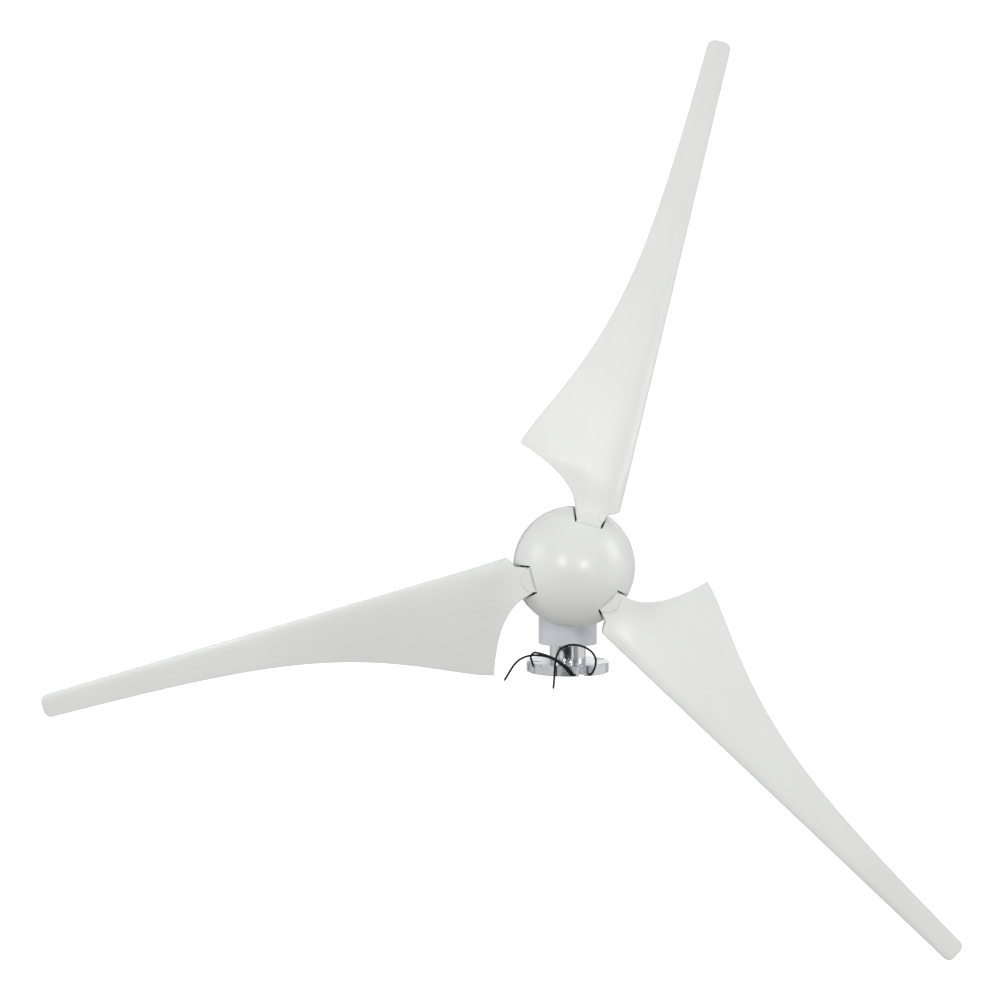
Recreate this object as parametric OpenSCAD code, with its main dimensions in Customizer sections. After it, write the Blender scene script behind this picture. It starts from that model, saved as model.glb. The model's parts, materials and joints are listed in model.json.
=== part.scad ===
// Small three-bladed wind turbine on a yawing flange mount.
// The origin is the centre of the mast flange's bottom face. +Z is up along the yaw axis.
// The rotor axis runs along Y and the nose points towards -Y.

/* [Rotor] */
// Distance from the rotor axis to a blade tip
rotor_radius = 600; // [560:1:640]
// Height of the rotor axis above the mount face
hub_z = 130; // [128:0.5:133]
// Angle of blade 1 from +X, seen from the front
blade_angle = 74.6; // [0:0.1:120]
// Width of a blade near its tip
tip_width = 26; // [22:1:32]
// Slope of the blade section at its widest chord
root_pitch = 13.5; // [10:0.5:16]
// Slope of the blade section at its tip
tip_pitch = 3; // [2:0.5:5]

/* [Nose cone] */
// Radius of the nose cone at its rim
nose_r = 66.2; // [65.5:0.1:67]
// Depth of the rounded cap ahead of the short skirt
nose_depth = 47; // [45:0.5:50]
// Wall of the nose cone
nose_wall = 2; // [1.6:0.2:2.2]

/* [Generator] */
// Outer radius of the generator housing
body_r = 62.5; // [62:0.5:63]
// Radius of the front lip that carries the cover screws
lip_r = 68; // [67.5:0.5:68.5]
// Number of stator teeth and coils
teeth = 9; // [9:1:9]
// Number of rotor magnets
magnet_count = 12; // [10:2:12]

/* [Yaw mount] */
// Outer radius of the mast flange
flange_r = 49.5; // [49:0.5:52]
// Thickness of the mast flange
flange_h = 12.5; // [12:0.5:13]
// Radius of the turned neck above the flange
neck_r = 22; // [21.5:0.5:22.5]
// Outer radius of the yaw housing
tower_r = 35; // [33:0.5:36]
// Radial distance of the round inner end of each open slot
slot_r = 36.5; // [35:0.5:38]
// Width of each open slot
slot_w = 8.4; // [7:0.2:9]

/* [Tail] */
// Height of the tail vane
vane_h = 140; // [110:5:160]
// Length of the tail vane
vane_l = 185; // [150:5:220]

/* [Leads] */
// Outer radius of one insulated lead
lead_r = 1.25; // [1:0.05:1.3]
// Length of bare conductor at each lead's end
bare_l = 2; // [1:0.5:4]

/* [Hidden] */
$fn = 64;
// Overrun of a cutter past the face that it opens
cut = 1;
// Radial gap of a fixed joint between two pieces of one body
fit = 0.02;

// Stations along the rotor axis, from the nose to the tail
nose_rim_y = -102;
// Length of the nose cone's straight skirt
skirt_l = 4;
hub_rear_y = -102;
hub_front_y = -110;
tab_front_y = -126;
clamp_front_y = -128.5;
washer_front_y = -131.5;
nut_front_y = -142;
cover_front_y = -98;
cover_rear_y = -90;
bulkhead_front_y = -31;
bulkhead_rear_y = -24;
body_rear_y = 38;
tail_cap_y = 58;
blade_y = (hub_front_y + tab_front_y) / 2;
front_bearing_y = -94;
rear_bearing_y = -38;

// Rotor bearings: bore radius, outer radius and width
front_bearing = [10, 23.5, 14];
rear_bearing = [8.5, 20, 12];
yaw_bearing = [12.5, 23.5, 12];
lower_yaw_z = 36.5;
upper_yaw_z = 55;
ball_gap = 0.25;

// Generator
chamber_r = 59;
rear_chamber_r = 56.5;
stator_y = [-76, -44];
stator_r = chamber_r - 0.1;
yoke_r = 52;
tooth_face_r = 41.3;
tooth_w = 9;
// Angle of the first tooth from +X
tooth_turn = 20;
magnet_r = 40.4;
magnet_t = 4;
magnet_y = [-75, -45];
coil_w = 5;
coil_over = 5;

// Yaw tower and slip rings
tower_z = 33;
bore_r = 7;
// Widened foot of the bore, where the leads turn outwards
relief_r = 9.4;
relief_h = 7;
ring_z = [85, 97, 109];
ring_h = 8;
ring_r = 17;
sleeve_z = [77, 123];
brush_y = 17.3;
holder_y = [24, 36];

// Hub and blade roots
blade_angles = [for (i = [0:2]) blade_angle + 120 * i];
hub_r = 60;
hub_boss_r = 16;
shaft_r = 8;
tab_start_r = 18.5;
window_start_r = 48.5;
window_angle = 17.4;
slit_w = 2.2;
bolt_rs = [26, 38];
arm_end_r = 48;
arm_round_r = 14;
nose_screw_r = 50;
// How far the centre of the rounded cap lies behind the front of the skirt
nose_drop = (pow(nose_r, 2) - pow(nose_depth, 2)) / (2 * nose_depth);
nose_ball_r = nose_drop + nose_depth;
nose_steps = 24;
nose_tip_y = nose_rim_y - skirt_l - nose_depth;

// Mast flange
slot_angles = [-74, 16, 106, 196];
spindle_screw_angles = [-35, 55, 145, 235];
spindle_screw_r = 15;
neck_seat = 3;
groove_h = 3.4;
groove_angles = [-87, -64];
groove_ws = [6, 3.4];
grommet_rs = [42, 48.2];
lead_z = 1.7;
pair_offset = 1.35;
// Radius of a lead inside the spindle, where it has no outer sleeve
inner_lead_r = 1.15;
earth_screw_at = [1.5, -34];

// Routes of the three loose leads, from the grommets to the ends of their insulation
lead_a_route = [
    [1.2, -48.2, 1.7], [0.9, -51.5, 1.8], [-0.8, -54.3, 4], [-4, -56.2, 8],
    [-8.5, -56.8, 12.8], [-13, -56, 16.4], [-18, -54, 19.6], [-23.5, -50.5, 22],
    [-29.5, -46.5, 23.4], [-35.3, -42, 23.8], [-41, -38.5, 23.6], [-47, -35, 22.6],
    [-53, -31, 20.4], [-58.5, -27.5, 17], [-63, -24, 12.5], [-66.8, -20.5, 7],
    [-70.2, -17.5, 1], [-72.6, -15.5, -3.4], [-75.5, -13.1, -8.7]
];
lead_b_route = [
    [3.9, -48.1, 1.7], [3.6, -51.8, 1.8], [2, -55.5, 4.2], [-1.2, -58.5, 8.4],
    [-5.6, -59.8, 13], [-10.5, -59.8, 16.6], [-15.8, -58.4, 20], [-21, -56, 22.6],
    [-26.5, -52.8, 24.6], [-32.5, -49.2, 26.2], [-38, -45.6, 27.2], [-41.4, -43.3, 27.4],
    [-44.2, -40.9, 25.4], [-45.9, -39.1, 22], [-45, -38.1, 17.9], [-42.7, -36.9, 10.6]
];
lead_c_route = [
    [21.2, -43.4, 1.7], [22.6, -46.3, 1.8], [24.6, -49.2, 4.4], [26.8, -51.2, 9.2],
    [28.4, -52, 15], [28.6, -51.8, 20], [27.2, -51.2, 24.6], [24, -50.4, 28.8],
    [19.4, -49.4, 32.4], [14, -48.4, 34.8], [8.2, -47.6, 36.3], [2.4, -47.2, 36.7],
    [-3.2, -47.2, 36], [-8.4, -47.6, 34], [-12.6, -48.2, 30.8], [-15.4, -48.8, 26.4],
    [-17, -49.2, 21.4], [-18, -49.5, 16], [-18.6, -49.8, 10.4], [-18.9, -50, 4.6],
    [-19.2, -50.3, -1.2], [-19.7, -50.5, -7], [-20.3, -50.8, -12.6]
];

// ---------- placing and turning ----------

module on_axis() {
    translate([0, 0, hub_z])
        children();
}

// Turns a piece whose radial direction is +X to an angle round the rotor axis
module at_angle(angle) {
    translate([0, 0, hub_z])
        rotate([0, -angle, 0])
            children();
}

module rod_y(r, y0, y1) {
    translate([0, y0, 0])
        rotate([-90, 0, 0])
            cylinder(h = y1 - y0, r = r);
}

module cone_y(r0, r1, y0, y1) {
    translate([0, y0, 0])
        rotate([-90, 0, 0])
            cylinder(h = y1 - y0, r1 = r0, r2 = r1);
}

module ring_y(r_out, r_in, y0, y1) {
    difference() {
        rod_y(r_out, y0, y1);
        rod_y(r_in, y0 - cut, y1 + cut);
    }
}

module rod_z(r, z0, z1) {
    translate([0, 0, z0])
        cylinder(h = z1 - z0, r = r);
}

module ring_z(r_out, r_in, z0, z1) {
    difference() {
        rod_z(r_out, z0, z1);
        rod_z(r_in, z0 - cut, z1 + cut);
    }
}

// Extrudes a flat outline drawn in X and Z between two stations along Y
module plate_y(y0, y1) {
    translate([0, y1, 0])
        rotate([90, 0, 0])
            linear_extrude(height = y1 - y0)
                children();
}

// ---------- bearings ----------

// Pieces of a deep-groove ball bearing along +Z from z = 0
function ball_path_r(b) = (b[0] + b[1]) / 2;
function ball_r(b) = (b[1] - b[0]) * 0.28;
function land_r(b, side) = ball_path_r(b) + side * (b[1] - b[0]) * 0.17;

module bearing_groove(b) {
    translate([0, 0, b[2] / 2])
        rotate_extrude()
            translate([ball_path_r(b), 0])
                circle(r = ball_r(b) + ball_gap);
}

module bearing_inner(b) {
    difference() {
        ring_z(land_r(b, -1), b[0] + fit, 0, b[2]);
        bearing_groove(b);
    }
}

module bearing_outer(b) {
    difference() {
        ring_z(b[1] - fit, land_r(b, 1), 0, b[2]);
        bearing_groove(b);
    }
}

module bearing_balls(b) {
    count = floor(PI * ball_path_r(b) / ball_r(b) * 0.8);
    for (i = [0:count - 1])
        rotate(i * 360 / count)
            translate([ball_path_r(b), 0, b[2] / 2])
                sphere(r = ball_r(b));
}

module at_main_bearings(which) {
    translate([0, which == 0 ? front_bearing_y : rear_bearing_y, hub_z])
        rotate([-90, 0, 0])
            children();
}

// ---------- leads ----------

function unit(v) = v / norm(v);
function heading(route, i) =
    unit(route[min(i + 1, len(route) - 1)] - route[max(i - 1, 0)]);
function side_seed(t) = abs(t[2]) < 0.9 ? [0, 0, 1] : [1, 0, 0];
function side(route, i) =
    let (t = heading(route, i))
    i == 0
        ? unit(cross(t, side_seed(t)))
        : let (s = side(route, i - 1)) unit(s - t * (t * s));

// Closed tube of one radius swept along a route of points
module tube(route, r, sides = 8) {
    rings = len(route);
    points = [
        for (i = [0:rings - 1])
            let (t = heading(route, i), s = side(route, i), u = cross(t, s))
            for (k = [0:sides - 1])
                route[i] + r * (cos(360 * k / sides) * s + sin(360 * k / sides) * u)
    ];
    walls = [
        for (i = [0:rings - 2])
            for (k = [0:sides - 1])
                let (a = i * sides + k, b = i * sides + (k + 1) % sides)
                for (face = [[a, a + sides, b], [b, a + sides, b + sides]])
                    face
    ];
    first = [for (k = [0:sides - 1]) k];
    last = [for (k = [sides - 1:-1:0]) (rings - 1) * sides + k];
    polyhedron(points, concat([first], walls, [last]));
}

module bare_end(route) {
    tip = route[len(route) - 1];
    along = unit(tip - route[len(route) - 2]);
    tube([tip, tip + along * bare_l / 2, tip + along * bare_l], lead_r * 0.6);
}

// ---------- blade form ----------

function clamp01(x) = min(1, max(0, x));
function ease(x) = let (t = clamp01(x)) t * t * (3 - 2 * t);
// Half-width of the root where it passes the nose cone's window
function root_half(r) = max(10, min(r, 64) * tan(window_angle) - slit_w);
function leading(r) =
    r <= 64 ? -root_half(r)
    : r <= 73 ? -root_half(64) - (30 - root_half(64)) * sin(90 * (r - 64) / 9)
    : -30 + (30 - tip_width / 2) * (r - 73) / (rotor_radius - 73);
// Inboard trailing edge: a curve that swings out to the widest chord
function swing_t(r) = (63.2 - sqrt(63.2 * 63.2 - 44.8 * (r - 64))) / 22.4;
function trailing(r) =
    r <= 64 ? root_half(r)
    : r <= 115 ? let (t = swing_t(r))
        root_half(64) * (1 - t) * (1 - t) + 56.6 * t * (1 - t) + 92 * t * t
    : tip_width / 2 - 0.5 + 82 * exp(-pow(max(0, (r - 117) / 134), 1.34));
function pitch(r) =
    root_pitch * ease((r - 60) / 60)
    * (1 - (1 - tip_pitch / root_pitch) * ease((r - 90) / (rotor_radius - 60)));
function airfoil(u) =
    u < 0.22 ? sqrt(1 - pow(1 - u / 0.22, 2) * 0.93) : 1 - 0.84 * pow((u - 0.22) / 0.78, 1.4);
function max_thickness(r) = 5 + 11 * exp(-max(0, r - 64) / 120);
function half_thickness(r, u) =
    let (k = ease((r - 60) / 50))
    (1 - k) * (hub_front_y - tab_front_y) / 2 + k * max_thickness(r) / 2 * airfoil(u);
// Tip corners are rounded over the last few millimetres
function tip_factor(r) =
    let (d = (r - rotor_radius + 7) / 7) d <= 0 ? 1 : sqrt(1 - 0.75 * d * d);

blade_stations = concat(
    [tab_start_r, 40, 52, 60, 64, 65.5, 68, 73],
    [for (r = [80:7:108]) r],
    [111, 113.5, 115, 117, 119, 122, 127, 134, 143],
    [for (r = [155:20:rotor_radius - 25]) r],
    [rotor_radius - 12, rotor_radius - 7, rotor_radius - 4, rotor_radius - 1.5, rotor_radius]
);
chord_steps = 9;
chord_places = [for (j = [0:chord_steps]) (1 - cos(180 * j / chord_steps)) / 2];

function section_point(r, u, front) =
    let (
        middle = (leading(r) + trailing(r)) / 2,
        half = (trailing(r) - leading(r)) / 2 * tip_factor(r),
        s = middle + half * (2 * u - 1),
        y = blade_y + s * tan(pitch(r)) + (front ? -1 : 1) * half_thickness(r, u)
    )
    [r, y, s];
function section(r) = concat(
    [for (u = chord_places) section_point(r, u, true)],
    [for (j = [chord_steps:-1:0]) section_point(r, chord_places[j], false)]
);

module blade_form() {
    ring = 2 * (chord_steps + 1);
    count = len(blade_stations);
    points = [for (r = blade_stations) for (p = section(r)) p];
    walls = [
        for (i = [0:count - 2])
            for (k = [0:ring - 1])
                let (a = i * ring + k, b = i * ring + (k + 1) % ring)
                for (face = [[a, b, a + ring], [b, b + ring, a + ring]])
                    face
    ];
    far = (count - 1) * ring;
    ends = [
        for (j = [0:chord_steps - 1])
            let (a = j, b = j + 1, c = ring - 2 - j, d = ring - 1 - j)
            for (face = [
                [a, d, b], [b, d, c], [far + a, far + b, far + d], [far + b, far + c, far + d]
            ])
                face
    ];
    polyhedron(points, concat(walls, ends));
}

module blade(index) {
    color("whitesmoke")
        at_angle(blade_angles[index])
            difference() {
                blade_form();
                for (r = bolt_rs)
                    translate([r, 0, 0])
                        rod_y(3.3, tab_front_y - cut, hub_front_y + cut);
            }
}

module blade_1() {
    blade(0);
}

module blade_2() {
    blade(1);
}

module blade_3() {
    blade(2);
}

// ---------- mast base ----------

module open_slot() {
    translate([0, 0, -cut])
        linear_extrude(height = flange_h + 2 * cut) {
            translate([slot_r, 0])
                circle(r = slot_w / 2);
            translate([slot_r, -slot_w / 2])
                square([flange_r, slot_w]);
        }
}

// Hole and countersink of one spindle screw, turned as one profile
module spindle_screw_hole() {
    rotate_extrude()
        polygon([[0, -cut], [6.2, -cut], [2.6, 2.6], [2.6, flange_h], [0, flange_h]]);
}

module mast_flange() {
    edge = 0.7;
    color("silver")
        difference() {
            rotate_extrude()
                polygon([
                    [bore_r, relief_h], [relief_r, relief_h - relief_r + bore_r], [relief_r, 0],
                    [flange_r - edge, 0], [flange_r, edge],
                    [flange_r, flange_h - edge], [flange_r - edge, flange_h], [bore_r, flange_h]
                ]);
            rod_z(neck_r + fit, flange_h - neck_seat, flange_h + cut);
            for (a = slot_angles)
                rotate(a)
                    open_slot();
            translate([0, 0, -cut])
                linear_extrude(height = groove_h + cut)
                    for (i = [0:1])
                        rotate(groove_angles[i])
                            translate([0, -groove_ws[i] / 2])
                                square([flange_r + 1, groove_ws[i]]);
            for (a = spindle_screw_angles)
                rotate(a)
                    translate([spindle_screw_r, 0, 0])
                        spindle_screw_hole();
            translate([earth_screw_at[0], earth_screw_at[1], 0])
                rod_z(2, flange_h - 6.5, flange_h + cut);
        }
}

module yaw_spindle() {
    foot_z = flange_h - neck_seat;
    color("lightgray")
        difference() {
            rotate_extrude()
                polygon([
                    [bore_r, foot_z], [neck_r, foot_z], [neck_r, tower_z - 1.5],
                    [neck_r - 1, tower_z - 0.5], [15.5, tower_z - 0.5], [15.5, lower_yaw_z],
                    [yaw_bearing[0], lower_yaw_z], [yaw_bearing[0], 75], [10, 75],
                    [10, 127], [9, 128], [bore_r, 128]
                ]);
            for (a = spindle_screw_angles)
                rotate(a)
                    translate([spindle_screw_r, 0, 0])
                        rod_z(2.5, foot_z - cut, foot_z + 13);
            ring_z(11, 9.3, sleeve_z[1] + 0.1, sleeve_z[1] + 1.3);
            for (z = ring_z)
                translate([0, 0, z + ring_h / 2])
                    rotate([0, 90, 0])
                        translate([0, 0, -11])
                            cylinder(h = 22, r = 1.6);
        }
}

module spindle_screws() {
    color("gray")
        for (a = spindle_screw_angles)
            rotate(a)
                translate([spindle_screw_r, 0, 0])
                    difference() {
                        union() {
                            rod_z(2.45, 2.6, flange_h + 8);
                            translate([0, 0, 0.2])
                                cylinder(h = 2.4, r1 = 4.95, r2 = 2.55);
                        }
                        translate([0, 0, -cut])
                            cylinder(h = 2.7, r = 1.7, $fn = 6);
                    }
}

module earth_screw() {
    color("gainsboro")
        translate([earth_screw_at[0], earth_screw_at[1], 0])
            difference() {
                union() {
                    rod_z(1.95, flange_h - 6, flange_h);
                    rod_z(3.4, flange_h, flange_h + 1.8);
                }
                translate([-4, -0.4, flange_h + 1.1])
                    cube([8, 0.8, 1]);
            }
}

module yaw_bearing_inner_rings() {
    color("silver")
        for (z = [lower_yaw_z, upper_yaw_z])
            translate([0, 0, z])
                bearing_inner(yaw_bearing);
}

module yaw_spacer() {
    color("darkgray")
        ring_z(15.2, yaw_bearing[0] + fit, lower_yaw_z + yaw_bearing[2], upper_yaw_z);
}

module yaw_tab_washer() {
    z = upper_yaw_z + yaw_bearing[2];
    color("darkgray")
        difference() {
            union() {
                ring_z(16, yaw_bearing[0] + fit, z, z + 1.2);
                translate([15, -2.5, z])
                    cube([3.5, 5, 1.2]);
            }
            translate([-16.5, -1.5, z - cut])
                cube([2.5, 3, 4]);
        }
}

module yaw_locknut() {
    z = upper_yaw_z + yaw_bearing[2] + 1.2;
    color("dimgray")
        difference() {
            ring_z(19, yaw_bearing[0] + fit, z, z + 6);
            for (a = [45:90:315])
                rotate(a)
                    translate([16.8, -2.2, z - cut])
                        cube([5, 4.4, 6 + 2 * cut]);
        }
}

module slip_ring_sleeve() {
    color("saddlebrown")
        difference() {
            ring_z(ring_r - 1.5, 10 + fit, sleeve_z[0], sleeve_z[1]);
            for (z = ring_z)
                ring_z(ring_r, 13, z, z + ring_h);
        }
}

module slip_rings() {
    color("goldenrod")
        for (z = ring_z)
            ring_z(ring_r, 13 + fit, z + 0.05, z + ring_h - 0.05);
}

module sleeve_circlip() {
    color("dimgray")
        difference() {
            ring_z(12.6, 9.4, sleeve_z[1] + 0.15, sleeve_z[1] + 1.25);
            translate([8, -2, sleeve_z[1] - cut])
                cube([6, 4, 4]);
        }
}

function groove_point(i, r, across) =
    [
        r * cos(groove_angles[i]) - across * sin(groove_angles[i]),
        r * sin(groove_angles[i]) + across * cos(groove_angles[i]),
        lead_z
    ];
lead_grooves = [0, 0, 1];
lead_across = [-pair_offset, pair_offset, 0];
// Where each lead runs down the hollow spindle
lead_tops = [[-3, -1, 0], [0.5, -3, 0], [3, 1, 0]];

module inner_lead(i) {
    g = lead_grooves[i];
    across = lead_across[i];
    low = groove_point(g, relief_r - 0.1, across);
    top = lead_tops[i];
    tube(
        [
            top + [0, 0, 115], top + [0, 0, 63], top + [0, 0, 10],
            top * 0.7 + low * 0.3 + [0, 0, 3.5], low,
            groove_point(g, 17, across), groove_point(g, grommet_rs[0], across)
        ],
        inner_lead_r
    );
}

module inner_leads() {
    color("dimgray")
        for (i = [0:2])
            inner_lead(i);
}

module lead_grommets() {
    color("black")
        for (i = [0:1])
            rotate(groove_angles[i])
                translate([grommet_rs[0], -groove_ws[i] / 2 + 0.05, 0.15])
                    cube([grommet_rs[1] - grommet_rs[0], groove_ws[i] - 0.1, groove_h - 0.25]);
}

module lead_a() {
    color("black")
        tube(lead_a_route, lead_r);
}

module lead_b() {
    color("black")
        tube(lead_b_route, lead_r);
}

module lead_c() {
    color("black")
        tube(lead_c_route, lead_r);
}

module lead_end_a() {
    color("silver")
        bare_end(lead_a_route);
}

module lead_end_b() {
    color("silver")
        bare_end(lead_b_route);
}

module lead_end_c() {
    color("silver")
        bare_end(lead_c_route);
}

// ---------- nacelle ----------

cover_screw_r = 62.8;
cover_screw_angles = [for (i = [0:5]) 30 + 60 * i];
rear_screw_angles = [45, 135, 225, 315];
rear_screw_r = 51;

// Wall of the housing, turned as one profile of radius and station, with its bulkhead
module nacelle_shell() {
    lip_y = cover_rear_y + 8;
    pocket_y = rear_bearing_y + rear_bearing[2];
    pocket_r = rear_bearing[1];
    boss_r = pocket_r + 5;
    translate([0, 0, hub_z])
        rotate([-90, 0, 0])
            rotate_extrude()
                polygon([
                    [chamber_r, cover_rear_y], [lip_r, cover_rear_y], [lip_r, lip_y],
                    [body_r, lip_y], [body_r, 0], [body_r - 2, body_rear_y],
                    [rear_chamber_r, body_rear_y], [rear_chamber_r, bulkhead_rear_y],
                    [0, bulkhead_rear_y], [0, pocket_y], [pocket_r, pocket_y],
                    [pocket_r, rear_bearing_y], [boss_r, rear_bearing_y],
                    [boss_r, bulkhead_front_y], [chamber_r, bulkhead_front_y]
                ]);
}

// Vertical yaw housing, cut back to the wall that it grows out of. The turns about each
// cylinder's own axis keep its seam away from the line where the two surfaces cross.
module yaw_tower() {
    difference() {
        rotate(37)
            rod_z(tower_r, tower_z, hub_z - 42);
        on_axis()
            rotate([0, 23, 0])
                rod_y(body_r - 3, -2 * tower_r, 2 * tower_r);
    }
}

// Stepped bore of the yaw housing: lower seat, shoulder, upper seat and circlip groove
module yaw_bore() {
    seat_r = yaw_bearing[1];
    groove_z = upper_yaw_z + yaw_bearing[2] + 0.05;
    rotate_extrude()
        polygon([
            [0, tower_z - cut], [seat_r, tower_z - cut], [seat_r, lower_yaw_z + yaw_bearing[2]],
            [21.5, lower_yaw_z + yaw_bearing[2]], [21.5, upper_yaw_z], [seat_r, upper_yaw_z],
            [seat_r, groove_z], [24.7, groove_z], [24.7, groove_z + 1.3],
            [seat_r, groove_z + 1.3], [seat_r, hub_z - 45], [0, hub_z - 45]
        ]);
}

module nacelle_housing() {
    color("whitesmoke")
        difference() {
            union() {
                nacelle_shell();
                yaw_tower();
                intersection() {
                    on_axis()
                        rod_y(body_r - 3, body_rear_y - 16, body_rear_y);
                    for (a = rear_screw_angles)
                        at_angle(a)
                            translate([rear_screw_r + 3, 0, 0])
                                rod_y(7.5, body_rear_y - 16, body_rear_y);
                }
            }
            yaw_bore();
            for (a = cover_screw_angles)
                at_angle(a)
                    translate([cover_screw_r, 0, 0])
                        rod_y(1.5, cover_rear_y - cut, cover_rear_y + 7);
            for (a = rear_screw_angles)
                at_angle(a)
                    translate([rear_screw_r, 0, 0])
                        rod_y(2, body_rear_y - 12, body_rear_y + cut);
            translate([0, 0, hub_z + 36])
                rod_y(5, bulkhead_front_y - cut, bulkhead_rear_y + cut);
        }
}

module front_cover() {
    color("whitesmoke")
        difference() {
            on_axis()
                difference() {
                    union() {
                        rod_y(lip_r, cover_front_y, cover_rear_y);
                        rod_y(chamber_r - 0.1, cover_rear_y - cut, cover_rear_y + 4);
                        rod_y(29, cover_rear_y, front_bearing_y + front_bearing[2] + 1);
                    }
                    ring_y(chamber_r - 4, 29, cover_rear_y, cover_rear_y + 5);
                    rod_y(17.5, cover_front_y - cut, front_bearing_y + cut);
                    rod_y(
                        front_bearing[1], front_bearing_y,
                        front_bearing_y + front_bearing[2] + 2 * cut
                    );
                }
            for (a = cover_screw_angles)
                at_angle(a)
                    translate([cover_screw_r, 0, 0]) {
                        rod_y(1.6, cover_front_y, cover_rear_y + cut);
                        rod_y(2.9, cover_front_y - cut, cover_front_y + 3.2);
                    }
        }
}

module front_cover_screws() {
    color("gray")
        for (a = cover_screw_angles)
            at_angle(a)
                translate([cover_screw_r, 0, 0])
                    difference() {
                        union() {
                            rod_y(1.45, cover_front_y + 3.2, cover_rear_y + 6);
                            rod_y(2.75, cover_front_y + 0.3, cover_front_y + 3.2);
                        }
                        translate([0, cover_front_y - cut, 0])
                            rotate([-90, 0, 0])
                                cylinder(h = 2.8, r = 1.4, $fn = 6);
                    }
}

// Half-profile of the rear cover, as radius and distance behind the housing
module rear_cover_profile(r, depth, round_r) {
    square([r, depth - round_r]);
    square([r - round_r, depth]);
    translate([r - round_r, depth - round_r])
        circle(r = round_r);
}

module rear_cover() {
    depth = tail_cap_y - body_rear_y;
    wall = 4;
    color("whitesmoke")
        difference() {
            union() {
                difference() {
                    translate([0, body_rear_y, hub_z])
                        rotate([-90, 0, 0])
                            rotate_extrude()
                                intersection() {
                                    rear_cover_profile(body_r - 2, depth, 14);
                                    square([body_r, depth]);
                                }
                    translate([0, body_rear_y - cut, hub_z])
                        rotate([-90, 0, 0])
                            rotate_extrude()
                                intersection() {
                                    rear_cover_profile(rear_chamber_r, depth - wall + cut, 11);
                                    square([body_r, depth]);
                                }
                }
                on_axis()
                    rod_y(17, tail_cap_y - 4, tail_cap_y + 30);
                intersection() {
                    on_axis()
                        rod_y(body_r - 2, body_rear_y, tail_cap_y - 8);
                    for (a = rear_screw_angles)
                        at_angle(a)
                            translate([rear_screw_r + 1, 0, 0])
                                rod_y(7.5, body_rear_y, tail_cap_y - 8);
                }
            }
            on_axis()
                rod_y(11, tail_cap_y, tail_cap_y + 31);
            for (a = rear_screw_angles)
                at_angle(a)
                    translate([rear_screw_r, 0, 0]) {
                        rod_y(2.2, body_rear_y - cut, tail_cap_y);
                        rod_y(4.2, body_rear_y + 9, tail_cap_y + cut);
                    }
            for (y = [8, 22])
                translate([0, tail_cap_y + y, hub_z])
                    rotate([0, 90, 0])
                        cylinder(h = 40, r = 2.6, center = true);
        }
}

module rear_cover_screws() {
    color("gray")
        for (a = rear_screw_angles)
            at_angle(a)
                translate([rear_screw_r, 0, 0])
                    difference() {
                        union() {
                            rod_y(1.95, body_rear_y - 10, body_rear_y + 9);
                            rod_y(3.8, body_rear_y + 9, body_rear_y + 12.5);
                        }
                        translate([0, body_rear_y + 10.5, 0])
                            rotate([-90, 0, 0])
                                cylinder(h = 4, r = 1.8, $fn = 6);
                    }
}

module stator_core() {
    color("slategray")
        on_axis()
            plate_y(stator_y[0], stator_y[1])
                rotate(tooth_turn) {
                    difference() {
                        circle(r = stator_r);
                        circle(r = yoke_r);
                    }
                    for (i = [0:teeth - 1])
                        rotate(i * 360 / teeth) {
                            translate([tooth_face_r + 2, -tooth_w / 2])
                                square([yoke_r - tooth_face_r - 1.5, tooth_w]);
                            translate([tooth_face_r, -10])
                                square([2.2, 20]);
                        }
                }
}

module stator_coils() {
    inner = tooth_w / 2 + 0.2;
    outer = inner + coil_w;
    y0 = stator_y[0] - 0.2;
    y1 = stator_y[1] + 0.2;
    color("peru")
        on_axis()
            for (i = [0:teeth - 1])
                rotate([0, -tooth_turn - i * 360 / teeth, 0])
                    difference() {
                        translate([tooth_face_r + 2.4, y0 - coil_over, -outer])
                            cube([7.1, y1 - y0 + 2 * coil_over, 2 * outer]);
                        translate([tooth_face_r, y0, -inner])
                            cube([20, y1 - y0, 2 * inner]);
                    }
}

module phase_leads() {
    color("firebrick")
        for (x = [-2.7, 0, 2.7])
            tube(
                [
                    [x, -37.6, hub_z + 46], [x, -35.6, hub_z + 40], [x, -33, hub_z + 36.8],
                    [x, -27, hub_z + 35.6], [x, -20, hub_z + 34], [x, -8, hub_z + 29],
                    [x, 6, hub_z + 21], [x, 18, hub_z + 11], [x, 26, hub_z + 2],
                    [x, 29, hub_z - 4], [x, 29.5, hub_z - 7.5]
                ],
                1
            );
}

module main_bearing_outer_rings() {
    color("silver") {
        at_main_bearings(0)
            bearing_outer(front_bearing);
        at_main_bearings(1)
            bearing_outer(rear_bearing);
    }
}

module main_bearing_balls() {
    color("gainsboro") {
        at_main_bearings(0)
            bearing_balls(front_bearing);
        at_main_bearings(1)
            bearing_balls(rear_bearing);
    }
}

module shaft_seal() {
    color("black")
        on_axis()
            ring_y(17.45, 10.3, cover_front_y + 0.5, front_bearing_y - 0.1);
}

module yaw_bearing_outer_rings() {
    color("silver")
        for (z = [lower_yaw_z, upper_yaw_z])
            translate([0, 0, z])
                bearing_outer(yaw_bearing);
}

module yaw_bearing_balls() {
    color("gainsboro")
        for (z = [lower_yaw_z, upper_yaw_z])
            translate([0, 0, z])
                bearing_balls(yaw_bearing);
}

module yaw_circlip() {
    z = upper_yaw_z + yaw_bearing[2] + 0.1;
    color("dimgray")
        difference() {
            ring_z(24.6, 20.5, z, z + 1.2);
            rotate(90)
                translate([19, -4, z - cut])
                    cube([8, 8, 4]);
        }
}

module yaw_seal() {
    color("black")
        ring_z(yaw_bearing[1] - fit, 15.8, tower_z + 0.4, lower_yaw_z - 0.1);
}

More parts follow.
